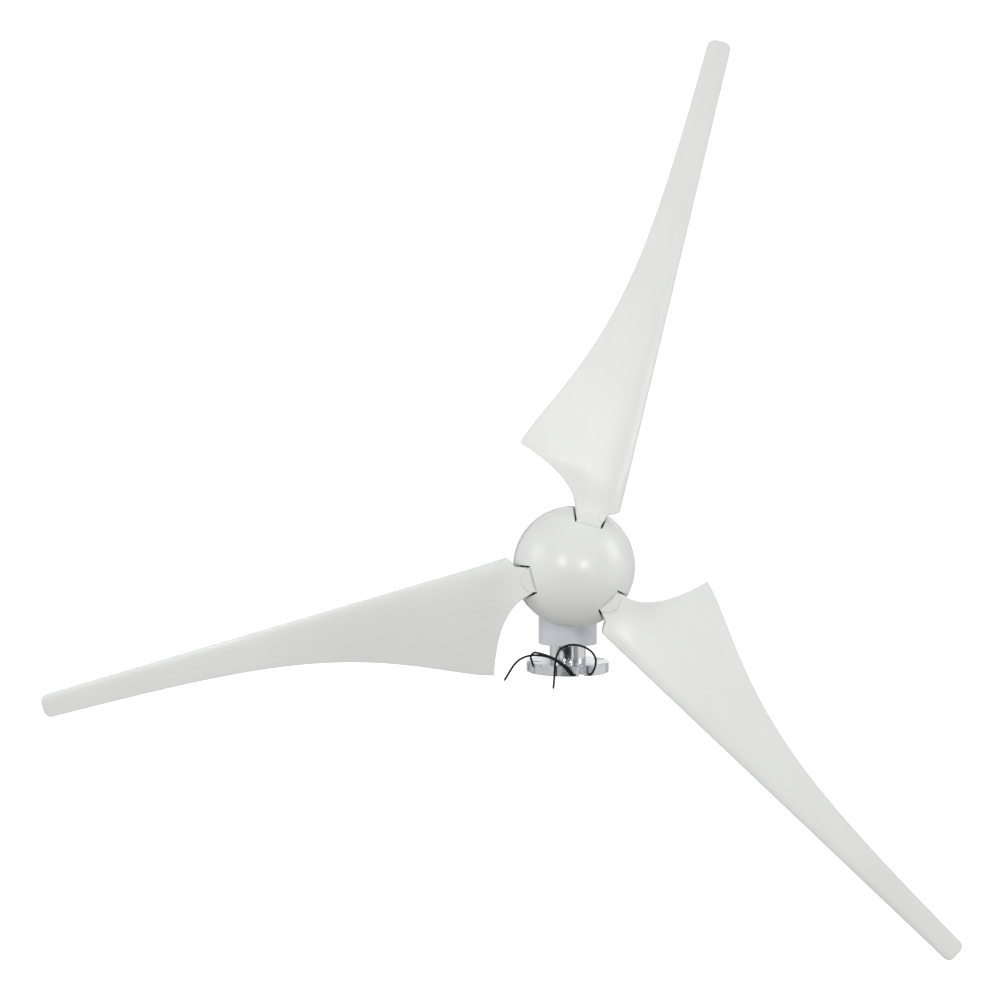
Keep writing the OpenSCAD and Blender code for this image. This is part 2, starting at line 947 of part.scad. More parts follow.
module brush_holder() {
    color("saddlebrown")
        intersection() {
            translate([-13, holder_y[0], hub_z - 60])
                cube([26, holder_y[1] - holder_y[0], 52.5]);
            on_axis()
                rod_y(rear_chamber_r - 0.1, bulkhead_rear_y, body_rear_y);
        }
}

module brushes() {
    color("dimgray")
        for (z = ring_z)
            translate([-3.5, brush_y, z + 1.5])
                cube([7, 4, 5]);
}

module brush_springs() {
    color("gold")
        for (z = ring_z)
            translate([0, 0, z + 4])
                ring_y(2.2, 1.3, brush_y + 4, holder_y[0]);
}

module tail_boom() {
    end_y = tail_cap_y + 240;
    color("whitesmoke")
        on_axis()
            difference() {
                rod_y(11 - fit, tail_cap_y + 0.1, end_y);
                rod_y(9, tail_cap_y - cut, end_y - 3);
                translate([-1.55, end_y - 92, -15])
                    cube([3.1, 100, 30]);
                for (y = [8, 22])
                    translate([0, tail_cap_y + y, 0])
                        rotate([0, 90, 0])
                            cylinder(h = 40, r = 2.6, center = true);
                for (y = [16, 46, 76])
                    translate([0, end_y - y, 0])
                        rotate([0, 90, 0])
                            cylinder(h = 40, r = 2.1, center = true);
            }
}

// A bolt across the boom with its head at -X and its nut at +X
module cross_bolt(shank_r, half_grip, head_r) {
    rotate([0, 90, 0])
        cylinder(h = 2 * half_grip + 5, r = shank_r, center = true);
    translate([-half_grip - shank_r * 1.4, 0, 0])
        rotate([0, 90, 0])
            cylinder(h = shank_r * 1.4, r = head_r, $fn = 6);
    translate([half_grip, 0, 0])
        rotate([0, 90, 0])
            cylinder(h = shank_r * 1.8, r = head_r, $fn = 6);
}

module tail_clamp_bolts() {
    color("gray")
        for (y = [8, 22])
            translate([0, tail_cap_y + y, hub_z])
                cross_bolt(2.5, 17.1, 4.6);
}

module tail_vane() {
    front = tail_cap_y + 152;
    low = -vane_h * 0.64;
    high = vane_h * 0.36;
    color("whitesmoke")
        difference() {
            translate([1.5, 0, hub_z])
                rotate([0, -90, 0])
                    linear_extrude(height = 3)
                        offset(r = 10, $fn = 32)
                            offset(delta = -10)
                                polygon([
                                    [low + 34, front], [low, front + 70], [low, front + vane_l],
                                    [high - 6, front + vane_l], [high, front + 60],
                                    [high - 18, front]
                                ]);
            for (y = [16, 46, 76])
                translate([0, tail_cap_y + 240 - y, hub_z])
                    rotate([0, 90, 0])
                        cylinder(h = 40, r = 2.1, center = true);
        }
}

module tail_vane_bolts() {
    color("gray")
        for (y = [16, 46, 76])
            translate([0, tail_cap_y + 240 - y, hub_z])
                cross_bolt(2, 11.1, 3.9);
}

// ---------- rotor ----------

module rotor_shaft() {
    color("lightgray")
        on_axis()
            difference() {
                union() {
                    rod_y(7, nut_front_y - 1, clamp_front_y);
                    rod_y(shaft_r, clamp_front_y, hub_rear_y);
                    rod_y(10, hub_rear_y, -80);
                    rod_y(13, -80, magnet_y[0]);
                    rod_y(11, magnet_y[0], rear_bearing_y);
                    rod_y(rear_bearing[0], rear_bearing_y, bulkhead_rear_y - 2.5);
                }
                translate([-2.5, hub_front_y - 12, 5])
                    cube([5, 14, 5]);
            }
}

module rotor_key() {
    color("dimgray")
        on_axis()
            translate([-2.45, hub_front_y - 11.9, 5.05])
                cube([4.9, 13.8, 4.9]);
}

module magnet_rotor_core() {
    color("slategray")
        on_axis()
            difference() {
                ring_y(magnet_r - magnet_t - 0.05, 11 + fit, magnet_y[0] + fit, magnet_y[1]);
                for (i = [0:5])
                    rotate([0, i * 60, 0])
                        translate([23, 0, 0])
                            rod_y(6, magnet_y[0] - cut, magnet_y[1] + cut);
            }
}

module rotor_magnets() {
    pitch_angle = 360 / magnet_count;
    arc = pitch_angle * 0.8;
    color("gray")
        translate([0, magnet_y[0] + 0.5, hub_z])
            rotate([-90, 0, 0])
                for (i = [0:magnet_count - 1])
                    rotate(i * pitch_angle)
                        rotate_extrude(angle = arc)
                            translate([magnet_r - magnet_t, 0])
                                square([magnet_t, magnet_y[1] - magnet_y[0] - 1]);
}

module main_bearing_inner_rings() {
    color("silver") {
        at_main_bearings(0)
            bearing_inner(front_bearing);
        at_main_bearings(1)
            bearing_inner(rear_bearing);
    }
}

module hub_plate() {
    color("dimgray")
        difference() {
            on_axis()
                difference() {
                    union() {
                        rod_y(hub_r, hub_front_y, hub_rear_y);
                        rod_y(hub_boss_r, tab_front_y, hub_front_y + cut);
                    }
                    rod_y(shaft_r + fit, tab_front_y - cut, hub_rear_y + cut);
                    translate([-2.5, tab_front_y - cut, 5])
                        cube([5, 30, 5]);
                }
            for (a = blade_angles)
                at_angle(a) {
                    for (r = bolt_rs)
                        translate([r, 0, 0])
                            rod_y(3, hub_front_y - cut, hub_rear_y + cut);
                    rotate([0, -60, 0])
                        translate([nose_screw_r, 0, 0]) {
                            rod_y(2.2, hub_front_y - cut, hub_rear_y + cut);
                            cone_y(2.2, 4.4, hub_rear_y - 2.2, hub_rear_y + 0.01);
                        }
                }
        }
}

module clamp_outline() {
    circle(r = 24);
    for (a = blade_angles)
        rotate(a) {
            translate([0, -arm_round_r])
                square([arm_end_r, 2 * arm_round_r]);
            translate([arm_end_r, 0])
                circle(r = arm_round_r);
        }
}

module blade_clamp_plate() {
    color("whitesmoke")
        difference() {
            on_axis()
                plate_y(clamp_front_y, tab_front_y)
                    clamp_outline();
            on_axis()
                rod_y(shaft_r + 0.1, clamp_front_y - cut, tab_front_y + cut);
            for (a = blade_angles)
                at_angle(a)
                    for (r = bolt_rs)
                        translate([r, 0, 0])
                            rod_y(3.2, clamp_front_y - cut, tab_front_y + cut);
        }
}

module blade_bolts() {
    color("gray")
        for (a = blade_angles)
            at_angle(a)
                for (r = bolt_rs)
                    translate([r, 0, 0])
                        difference() {
                            union() {
                                rod_y(2.95, clamp_front_y, hub_rear_y - 0.5);
                                rod_y(4.6, clamp_front_y - 2.4, clamp_front_y);
                            }
                            translate([0, clamp_front_y - 3, 0])
                                rotate([-90, 0, 0])
                                    cylinder(h = 2, r = 2.2, $fn = 6);
                        }
}

module hub_washer() {
    color("silver")
        on_axis()
            ring_y(14, 7.2, washer_front_y, clamp_front_y - 0.1);
}

module hub_nut() {
    color("gray")
        on_axis()
            difference() {
                translate([0, nut_front_y, 0])
                    rotate([-90, 0, 0])
                        cylinder(h = washer_front_y - nut_front_y - fit, r = 12, $fn = 6);
                rod_y(7 + fit, nut_front_y - cut, washer_front_y + cut);
            }
}

// Points of the domed outline from the rim of the skirt to the axis, set in by a margin
function nose_arc(margin) =
    let (
        r = nose_ball_r - margin,
        centre = skirt_l - nose_drop,
        low = acos((nose_r - margin) / r)
    )
    [
        for (i = [0:nose_steps])
            let (a = low + (90 - low) * i / nose_steps)
                [r * cos(a), centre + r * sin(a)]
    ];

// Half-outline of the nose, as radius and distance ahead of the rim, shrunk by a margin
module nose_outline(margin) {
    polygon(concat([[0, 0], [nose_r - margin, 0]], nose_arc(margin)));
}

module nose_turned() {
    translate([0, nose_rim_y, 0])
        rotate([90, 0, 0])
            rotate(25)
                rotate_extrude()
                    children();
}

// Window through which one blade root leaves the nose cone
module nose_window() {
    start = window_start_r;
    end = nose_r + 8;
    slope = tan(window_angle);
    plate_y(nose_tip_y - cut, nose_rim_y + cut)
        polygon([
            [start, -start * slope], [end, -end * slope], [end, end * slope],
            [start, start * slope]
        ]);
}

module nose_cone() {
    boss_rear_y = hub_front_y - 0.05;
    color("white")
        on_axis()
            difference() {
                union() {
                    nose_turned()
                        difference() {
                            nose_outline(0);
                            nose_outline(nose_wall);
                        }
                    intersection() {
                        nose_turned()
                            nose_outline(nose_wall / 2);
                        for (a = blade_angles)
                            rotate([0, -a - 60, 0])
                                translate([nose_screw_r, 0, 0])
                                    rod_y(5, -140, boss_rear_y);
                    }
                }
                for (a = blade_angles)
                    rotate([0, -a, 0])
                        nose_window();
                for (a = blade_angles)
                    rotate([0, -a - 60, 0])
                        translate([nose_screw_r, 0, 0])
                            rod_y(1.7, hub_front_y - 9, boss_rear_y + cut);
            }
}

module nose_cone_screws() {
    color("gray")
        for (a = blade_angles)
            at_angle(a + 60)
                translate([nose_screw_r, 0, 0])
                    difference() {
                        union() {
                            rod_y(1.65, hub_front_y - 8, hub_rear_y - 2.1);
                            cone_y(2.1, 4.1, hub_rear_y - 2.1, hub_rear_y - 0.1);
                        }
                        translate([0, hub_rear_y - 1.4, 0])
                            rotate([-90, 0, 0])
                                cylinder(h = 3, r = 1.5, $fn = 6);
                    }
}

mast_flange();
yaw_spindle();
spindle_screws();
earth_screw();
yaw_bearing_inner_rings();
yaw_spacer();
yaw_tab_washer();
yaw_locknut();
slip_ring_sleeve();
slip_rings();
sleeve_circlip();
inner_leads();
lead_grommets();
lead_a();
lead_b();
lead_c();
lead_end_a();
lead_end_b();
lead_end_c();
nacelle_housing();
front_cover();
front_cover_screws();
rear_cover();
rear_cover_screws();
stator_core();
stator_coils();
phase_leads();
main_bearing_outer_rings();
main_bearing_balls();
shaft_seal();
yaw_bearing_outer_rings();
yaw_bearing_balls();
yaw_circlip();
yaw_seal();
brush_holder();
brushes();
brush_springs();
tail_boom();
tail_clamp_bolts();
tail_vane();
tail_vane_bolts();
rotor_shaft();
rotor_key();
magnet_rotor_core();
rotor_magnets();
main_bearing_inner_rings();
hub_plate();
blade_1();
blade_2();
blade_3();
blade_clamp_plate();
blade_bolts();
hub_washer();
hub_nut();
nose_cone();
nose_cone_screws();
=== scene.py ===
"""Looks of the small wind turbine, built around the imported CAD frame.

Metres, +Z up, nose towards -Y.
"""

import json
import math

import bmesh
import bpy
from mathutils import Matrix, Vector


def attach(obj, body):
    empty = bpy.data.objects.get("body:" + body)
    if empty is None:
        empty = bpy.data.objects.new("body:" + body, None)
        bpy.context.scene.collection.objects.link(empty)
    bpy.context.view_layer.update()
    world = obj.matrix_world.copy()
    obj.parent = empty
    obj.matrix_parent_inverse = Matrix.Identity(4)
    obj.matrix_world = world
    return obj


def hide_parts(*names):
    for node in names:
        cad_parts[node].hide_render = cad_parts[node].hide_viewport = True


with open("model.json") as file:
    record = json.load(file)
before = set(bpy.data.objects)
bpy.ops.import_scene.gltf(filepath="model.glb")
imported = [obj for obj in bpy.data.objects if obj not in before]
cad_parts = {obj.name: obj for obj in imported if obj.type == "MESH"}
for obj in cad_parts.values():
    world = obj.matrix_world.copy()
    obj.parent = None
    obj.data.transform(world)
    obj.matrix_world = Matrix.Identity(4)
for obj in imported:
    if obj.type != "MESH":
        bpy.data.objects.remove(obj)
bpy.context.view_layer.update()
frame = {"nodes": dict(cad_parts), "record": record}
MM = 0.001

# Height of the rotor axis, and the first blade's angle from +X towards +Z
HUB_Z = 0.130
BLADE_ANGLE = 74.6
HUB_UP = Vector((0, 0, HUB_Z))


def link(obj):
    """Adds the object to the scene and gives it back."""
    bpy.context.scene.collection.objects.link(obj)
    return obj


def mesh_from(bm, name, smooth=False):
    """The bmesh as a mesh; the bmesh is freed."""
    mesh = bpy.data.meshes.new(name)
    bm.to_mesh(mesh)
    bm.free()
    if smooth:
        mesh.polygons.foreach_set("use_smooth", [True] * len(mesh.polygons))
    return mesh


def bridge(bm, a, b):
    """Faces between two closed rings of vertices; a ring of one vertex is a pole."""
    count = max(len(a), len(b))
    for k in range(count):
        n = (k + 1) % count
        if len(a) == 1:
            bm.faces.new((a[0], b[k], b[n]))
        elif len(b) == 1:
            bm.faces.new((a[k], b[0], a[n]))
        else:
            bm.faces.new((a[k], b[k], b[n], a[n]))


def face_out(bm):
    """Turns every face of a closed shape outward."""
    bmesh.ops.recalc_face_normals(bm, faces=bm.faces)


# ---------------------------------------------------------------- camera

# Place, turn and focal length were fitted to points of the photo, which is 1001 pixels wide
FOCAL_PIXELS = 1174.7
PHOTO_PIXELS = 1001
SENSOR = 36

camera = link(bpy.data.objects.new("camera", bpy.data.cameras.new("camera")))
camera.location = (-0.1061, -1.4045, 0.2037)
camera.rotation_euler = (math.radians(90), 0, math.radians(-1.05))
camera.data.sensor_width = SENSOR
camera.data.lens = FOCAL_PIXELS / PHOTO_PIXELS * SENSOR
camera.data.clip_start = 0.05
camera.data.clip_end = 60
bpy.context.scene.camera = camera

# ---------------------------------------------------------------- materials


# Width of the jump from 0 to 1 in a step, in metres
STEP_WIDTH = 0.0001


class Shader:
    """One procedural material, with short calls for its nodes."""

    def __init__(self, name):
        self.material = bpy.data.materials.new(name)
        self.material.use_nodes = True
        self.nodes = self.material.node_tree.nodes
        self.links = self.material.node_tree.links
        self.surface = self.nodes["Principled BSDF"]
        coords = self.nodes.new("ShaderNodeTexCoord")
        self.place = coords.outputs["Object"]
        self.uv = coords.outputs["UV"]
        self.normal_from = None

    def set(self, **values):
        """Constants on the Principled shader's own sockets."""
        for key, value in values.items():
            self.surface.inputs[key.replace("_", " ")].default_value = value

    def join(self, source, target):
        self.links.new(source, target)

    def stretched(self, scale, source=None):
        """Object coordinates, or the source's, times a scale on each axis."""
        node = self.nodes.new("ShaderNodeMapping")
        node.inputs["Scale"].default_value = scale
        self.join(source or self.place, node.inputs["Vector"])
        return node.outputs["Vector"]

    def noise(self, scale, detail=3.0, rough=0.55, source=None, warp=0.0):
        """Cloudy noise over the object, or over the source's coordinates."""
        node = self.nodes.new("ShaderNodeTexNoise")
        node.inputs["Scale"].default_value = scale
        node.inputs["Detail"].default_value = detail
        node.inputs["Roughness"].default_value = rough
        node.inputs["Distortion"].default_value = warp
        self.join(source or self.place, node.inputs["Vector"])
        return node.outputs["Fac"]

    def cells(self, scale):
        """Distance to the nearest of many scattered points."""
        node = self.nodes.new("ShaderNodeTexVoronoi")
        node.inputs["Scale"].default_value = scale
        self.join(self.place, node.inputs["Vector"])
        return node.outputs["Distance"]

    def waves(self, scale, kind, axis, warp):
        """Ripples in flat bands across an axis, or in rings round it."""
        node = self.nodes.new("ShaderNodeTexWave")
        node.wave_type = kind
        if kind == "BANDS":
            node.bands_direction = axis
        else:
            node.rings_direction = axis
        node.inputs["Scale"].default_value = scale
        node.inputs["Distortion"].default_value = warp
        node.inputs["Detail"].default_value = 2.0
        node.inputs["Detail Scale"].default_value = 2.0
        self.join(self.place, node.inputs["Vector"])
        return node.outputs["Fac"]

    def spread(self, source, low, high, start=0.0, stop=1.0):
        """A value between start and stop taken to low and high."""
        node = self.nodes.new("ShaderNodeMapRange")
        node.inputs["From Min"].default_value = start
        node.inputs["From Max"].default_value = stop
        node.inputs["To Min"].default_value = low
        node.inputs["To Max"].default_value = high
        self.join(source, node.inputs["Value"])
        return node.outputs["Result"]

    def times(self, a, b, kind="MULTIPLY"):
        """a times b, or another operation on the two; all but ADD are held between 0 and 1."""
        node = self.nodes.new("ShaderNodeMath")
        node.operation = kind
        node.use_clamp = kind != "ADD"
        for socket, value in zip(node.inputs, (a, b)):
            if isinstance(value, (int, float)):
                socket.default_value = value
            else:
                self.join(value, socket)
        return node.outputs["Value"]

    def drift(self, scale, detail=3.0, rough=0.55):
        """Noise stretched to run from 0 to 1."""
        return self.spread(self.noise(scale, detail, rough), 0, 1, 0.3, 0.7)

    def size_of(self, vector):
        """The vector's length."""
        node = self.nodes.new("ShaderNodeVectorMath")
        node.operation = "LENGTH"
        self.join(vector, node.inputs[0])
        return node.outputs["Value"]

    def part_of(self, vector, axis):
        """The vector's X, Y or Z."""
        node = self.nodes.new("ShaderNodeSeparateXYZ")
        self.join(vector, node.inputs["Vector"])
        return node.outputs[axis]

    def step(self, source, edge):
        """0 below the edge and 1 above it."""
        return self.spread(source, 0, 1, edge, edge + STEP_WIDTH)

    def mix(self, factor, a, b):
        """Colour a where factor is 0 and b where it is 1."""
        node = self.nodes.new("ShaderNodeMix")
        node.data_type = "RGBA"
        for socket, value in ((node.inputs[6], a), (node.inputs[7], b)):
            if isinstance(value, tuple):
                socket.default_value = (*value, 1)
            else:
                self.join(value, socket)
        self.join(factor, node.inputs["Factor"])
        return node.outputs[2]

    def colour(self, source):
        self.join(source, self.surface.inputs["Base Color"])

    def roughness(self, source):
        self.join(source, self.surface.inputs["Roughness"])

    def bump(self, height, distance, strength):
        """One more layer of relief; distance is in metres."""
        node = self.nodes.new("ShaderNodeBump")
        node.inputs["Strength"].default_value = strength
        node.inputs["Distance"].default_value = distance
        self.join(height, node.inputs["Height"])
        if self.normal_from is not None:
            self.join(self.normal_from, node.inputs["Normal"])
        self.normal_from = node.outputs["Normal"]
        self.join(self.normal_from, self.surface.inputs["Normal"])

    def round_edges(self, radius):
        """Softens the shading over sharp edges, as a real part's small edge radius does."""
        node = self.nodes.new("ShaderNodeBevel")
        node.samples = 4
        node.inputs["Radius"].default_value = radius
        self.normal_from = node.outputs["Normal"]
        self.join(self.normal_from, self.surface.inputs["Normal"])
        return node.outputs["Normal"]

    def edge_mask(self, radius, gain=6.0):
        """1 along sharp edges and 0 on open faces."""
        rounded = self.round_edges(radius)
        true = self.nodes.new("ShaderNodeNewGeometry").outputs["Normal"]
        dot = self.nodes.new("ShaderNodeVectorMath")
        dot.operation = "DOT_PRODUCT"
        self.join(rounded, dot.inputs[0])
        self.join(true, dot.inputs[1])
        turned = self.times(1.0, dot.outputs["Value"], "SUBTRACT")
        return self.times(turned, gain)

    def attribute(self, name):
        """A number stored on the mesh's points."""
        node = self.nodes.new("ShaderNodeAttribute")
        node.attribute_name = name
        return node.outputs["Fac"]


def shade(rgb, factor):
    """The colour made lighter or darker."""
    return tuple(min(1.0, c * factor) for c in rgb)


def tint(rgb, other, amount):
    """The colour moved part of the way to another."""
    return tuple(a + (b - a) * amount for a, b in zip(rgb, other))


def blade_plastic():
    """Off-white moulded blade: fibre flow along the span, fine mould grain, rubbed edges."""
    s = Shader("white_plastic")
    base = (0.79, 0.80, 0.775)
    along = s.stretched((1.0, 0.035, 1.0), s.uv)
    flow = s.noise(46, 4, 0.6, along, 0.6)
    blotch = s.noise(5.5, 3, 0.5)
    tone = s.mix(s.spread(blotch, 0, 1, 0.3, 0.7), shade(base, 0.965), shade(base, 1.03))
    fibres = s.times(s.spread(flow, 0, 1, 0.45, 0.75), 0.5)
    tone = s.mix(fibres, tone, tint(base, (0.72, 0.72, 0.67), 0.7))
    specks = s.spread(s.cells(420), 1, 0, 0.0, 0.14)
    rare = s.times(specks, s.spread(s.noise(60, 2), 0, 1, 0.62, 0.72))
    tone = s.mix(s.times(rare, 0.5), tone, (0.42, 0.41, 0.36))
    rub = s.times(s.attribute("edge"), s.spread(s.noise(160, 4, 0.65), 0.15, 1, 0.35, 0.7))
    tone = s.mix(s.times(rub, 0.55), tone, (0.68, 0.685, 0.665))
    s.colour(tone)
    rough = s.spread(s.noise(70, 4, 0.6, along, 0.4), 0.27, 0.40, 0.3, 0.7)
    s.roughness(s.times(rough, s.times(rub, 0.22), "ADD"))
    s.bump(s.noise(2600, 2, 0.5), 0.00004, 0.5)
    s.bump(flow, 0.00010, 0.35)
    s.bump(s.noise(11, 1, 0.4), 0.0012, 0.30)
    s.set(IOR=1.48, Specular_IOR_Level=0.5)
    return s.material


def nose_plastic():
    """Painted dome: satin gloss with a very fine orange peel."""
    s = Shader("nose_plastic")
    base = (0.77, 0.78, 0.755)
    tone = s.mix(s.drift(16, 3), shade(base, 0.975), shade(base, 1.02))
    specks = s.spread(s.cells(520), 1, 0, 0.0, 0.12)
    rare = s.times(specks, s.spread(s.noise(90, 2), 0, 1, 0.6, 0.7))
    tone = s.mix(s.times(rare, 0.35), tone, (0.40, 0.39, 0.35))
    worn = s.times(s.edge_mask(0.0008, 3.0), s.spread(s.noise(220, 3), 0.2, 1, 0.4, 0.7))
    tone = s.mix(s.times(worn, 0.35), tone, (0.52, 0.52, 0.50))
    s.colour(tone)
    s.roughness(s.spread(s.noise(55, 4, 0.6), 0.29, 0.39, 0.3, 0.7))
    s.bump(s.noise(1100, 2, 0.5), 0.00002, 0.3)
    s.bump(s.noise(34, 1, 0.4), 0.00010, 0.2)
    s.set(IOR=1.5, Coat_Weight=0.25, Coat_Roughness=0.22)
    return s.material


# Where the front cover meets the housing, in metres
COVER_SEAM_Y = -0.0901


def powder_coat():
    """Cool white powder coat on cast metal, painted lighter ahead of COVER_SEAM_Y as painted light
    that offsets the shade on the front lip beside the dome.
    """
    s = Shader("white_paint")
    base = (0.64, 0.665, 0.705)
    # The lighter tone ahead of the seam is painted light, which offsets the shade on the front lip
    # beside the dome
    cover_painted_light = (0.86, 0.86, 0.90)
    patches = s.drift(14, 3)
    tone = s.mix(patches, shade(base, 0.96), shade(base, 1.03))
    behind = s.step(s.part_of(s.place, "Y"), COVER_SEAM_Y)
    tone = s.mix(behind, s.mix(patches, shade(cover_painted_light, 0.96), shade(cover_painted_light, 1.03)), tone)
    dust = s.spread(s.noise(7, 5, 0.65, warp=0.8), 0, 0.35, 0.5, 0.75)
    tone = s.mix(dust, tone, (0.55, 0.56, 0.55))
    chipped = s.times(s.edge_mask(0.0009, 5.0), s.spread(s.noise(260, 4, 0.7), 0, 1, 0.52, 0.62))
    tone = s.mix(s.times(chipped, 0.7), tone, (0.42, 0.43, 0.44))
    s.colour(tone)
    s.roughness(s.spread(s.noise(40, 4, 0.6), 0.30, 0.46, 0.3, 0.7))
    s.bump(s.noise(850, 2, 0.5), 0.00012, 0.45)
    s.bump(s.cells(1400), 0.00003, 0.4)
    s.set(IOR=1.5)
    return s.material


# The turned neck stays within this radius, in metres
NECK_RADIUS = 0.0225
# Inner and outer radius, lower and upper height, in metres: of the flange's faces, only the milled
# walls of its slots lie between them
SLOT_WALLS = (0.027, 0.0487, 0.0008, 0.0117)


def turned_metal(
    name, base, low, high, pitch, axis="Z", strength=0.35, streak=0.12, bevel=0.0004, milled=None
):
    """Lathe-turned metal: fine rings round its axis, brighter edges, faint handling marks.

    milled: radii and heights, in metres, between which faces are duller, rougher milled ones,
    their colour lightened as painted light.
    """
    s = Shader(name)
    edge = s.edge_mask(bevel, 5.0)
    rings = s.waves(pitch, "RINGS", axis, 1.2)
    fine = s.waves(pitch * 2.7, "BANDS", axis, 2.0)
    marks = s.noise(120, 5, 0.7, s.stretched((1.0, 1.0, 6.0) if axis == "Z" else (1.0, 6.0, 1.0)))
    tone = s.mix(s.spread(rings, 0, 1), shade(base, 1 - streak), shade(base, 1 + streak * 0.6))
    tone = s.mix(s.spread(marks, 0, 0.45, 0.5, 0.85), tone, shade(base, 0.86))
    tone = s.mix(s.times(edge, 0.6), tone, shade(base, 1.2))
    polish = s.spread(s.noise(90, 4, 0.6), low, high, 0.3, 0.7)
    if milled:
        inner, outer, bottom, top = milled
        radius = s.size_of(s.stretched((1.0, 1.0, 0.0)))
        height = s.size_of(s.stretched((0.0, 0.0, 1.0)))
        inside = s.times(s.step(radius, inner), s.step(height, bottom))
        beyond = s.times(s.step(radius, outer), s.step(height, top), "MAXIMUM")
        cut = s.times(inside, s.times(1.0, beyond, "SUBTRACT"))
        passes = s.noise(900, 2, 0.5, s.stretched((1.0, 1.0, 0.15)))
        # The milled slot walls are rougher, and their colour is lightened up to 1.35 times as
        # painted light so that they read as brightly lit
        milled_tone_painted_light = s.mix(s.spread(passes, 0, 1, 0.35, 0.65), shade(base, 1.08), shade(base, 1.35))
        tone = s.mix(cut, tone, milled_tone_painted_light)
        polish = s.times(polish, s.times(cut, s.spread(passes, 0.24, 0.34)), "ADD")
        polish = s.times(polish, s.times(s.step(radius, NECK_RADIUS), 0.12), "ADD")
    s.colour(tone)
    s.roughness(polish)
    s.bump(rings, 0.00003, strength)
    s.bump(fine, 0.00002, strength)
    s.bump(s.noise(700, 3, 0.6), 0.00002, 0.3)
    s.set(Metallic=1.0)
    return s.material


def plated_metal(name, base, low, high, grime=(0.10, 0.09, 0.08), dirt=0.35, bevel=0.0003):
    """Small plated or ground part: mottled plating with patches of grime and bright edges."""
    s = Shader(name)
    edge = s.edge_mask(bevel, 5.0)
    mottle = s.noise(340, 5, 0.65)
    tone = s.mix(s.spread(mottle, 0, 1, 0.3, 0.7), shade(base, 0.85), shade(base, 1.1))
    tone = s.mix(s.spread(s.noise(75, 4, 0.7, warp=0.6), 0, dirt, 0.5, 0.8), tone, grime)
    tone = s.mix(s.times(edge, 0.5), tone, shade(base, 1.25))
    s.colour(tone)
    s.roughness(s.spread(s.noise(210, 4, 0.6), low, high, 0.3, 0.7))
    s.bump(s.noise(1500, 3, 0.6), 0.00002, 0.4)
    s.set(Metallic=1.0)
    return s.material


def laminated_steel():
    """Stacked electrical sheet: half-millimetre layers along the rotor axis."""
    s = Shader("lamination")
    layers = s.waves(314, "BANDS", "Y", 0.15)
    tone = s.mix(layers, (0.10, 0.105, 0.115), (0.24, 0.245, 0.26))
    tone = s.mix(s.spread(s.noise(130, 4, 0.7), 0, 0.5, 0.5, 0.8), tone, (0.13, 0.08, 0.05))
    s.colour(tone)
    s.roughness(s.spread(s.noise(300, 3), 0.42, 0.62, 0.3, 0.7))
    s.bump(layers, 0.00006, 0.7)
    s.bump(s.noise(1200, 3), 0.00002, 0.4)
    s.set(Metallic=0.8)
    return s.material


def wound_copper():
    """Enamelled winding wire laid side by side round each tooth."""
    s = Shader("copper")
    strands = s.waves(420, "BANDS", "DIAGONAL", 0.6)
    tone = s.mix(strands, (0.26, 0.075, 0.03), (0.62, 0.24, 0.11))
    tone = s.mix(s.spread(s.noise(160, 4, 0.6), 0, 0.5, 0.45, 0.75), tone, (0.34, 0.13, 0.05))
    s.colour(tone)
    s.roughness(s.spread(s.noise(240, 3), 0.22, 0.38, 0.3, 0.7))
    s.bump(strands, 0.00025, 0.8)
    s.set(Metallic=0.7, Coat_Weight=0.5, Coat_Roughness=0.2)
    return s.material


def moulded(name, base, low, high, grain=900, depth=0.00006, speck=None, sheen=0.0, bevel=0.0003):
    """Plain moulded or pressed non-metal with fine grain and slight colour drift."""
    s = Shader(name)
    edge = s.edge_mask(bevel, 4.0)
    tone = s.mix(s.drift(60, 3), shade(base, 0.82), shade(base, 1.12))
    flecks = s.spread(s.cells(700), 1, 0, 0.0, 0.2)
    rare = s.times(flecks, s.spread(s.noise(120, 2), 0, 1, 0.5, 0.7))
    tone = s.mix(s.times(rare, 0.6), tone, speck or tint(base, (0.5, 0.5, 0.5), 0.3))
    tone = s.mix(s.times(edge, 0.35), tone, tint(base, (0.7, 0.7, 0.7), 0.18))
    s.colour(tone)
    s.roughness(s.spread(s.noise(180, 4, 0.6), low, high, 0.3, 0.7))
    s.bump(s.noise(grain, 3, 0.6), depth, 0.5)
    s.set(Sheen_Weight=sheen, Sheen_Roughness=0.5)
    return s.material


def lead_pvc(name, base):
    """PVC insulation with extrusion lines and a little dust."""
    s = Shader(name)
    lines = s.noise(520, 4, 0.6, s.stretched((1.0, 1.0, 0.25)))
    tone = s.mix(s.spread(lines, 0, 1, 0.3, 0.7), shade(base, 0.7), shade(base, 1.4))
    dust = s.spread(s.noise(90, 5, 0.7), 0, 0.06, 0.55, 0.8)
    tone = s.mix(dust, tone, tint(base, (0.22, 0.21, 0.2), 0.4))
    s.colour(tone)
    s.roughness(s.spread(s.noise(330, 4, 0.6), 0.42, 0.58, 0.3, 0.7))
    s.bump(lines, 0.00004, 0.5)
    s.bump(s.noise(1800, 2), 0.00002, 0.4)
    s.set(IOR=1.3)
    return s.material


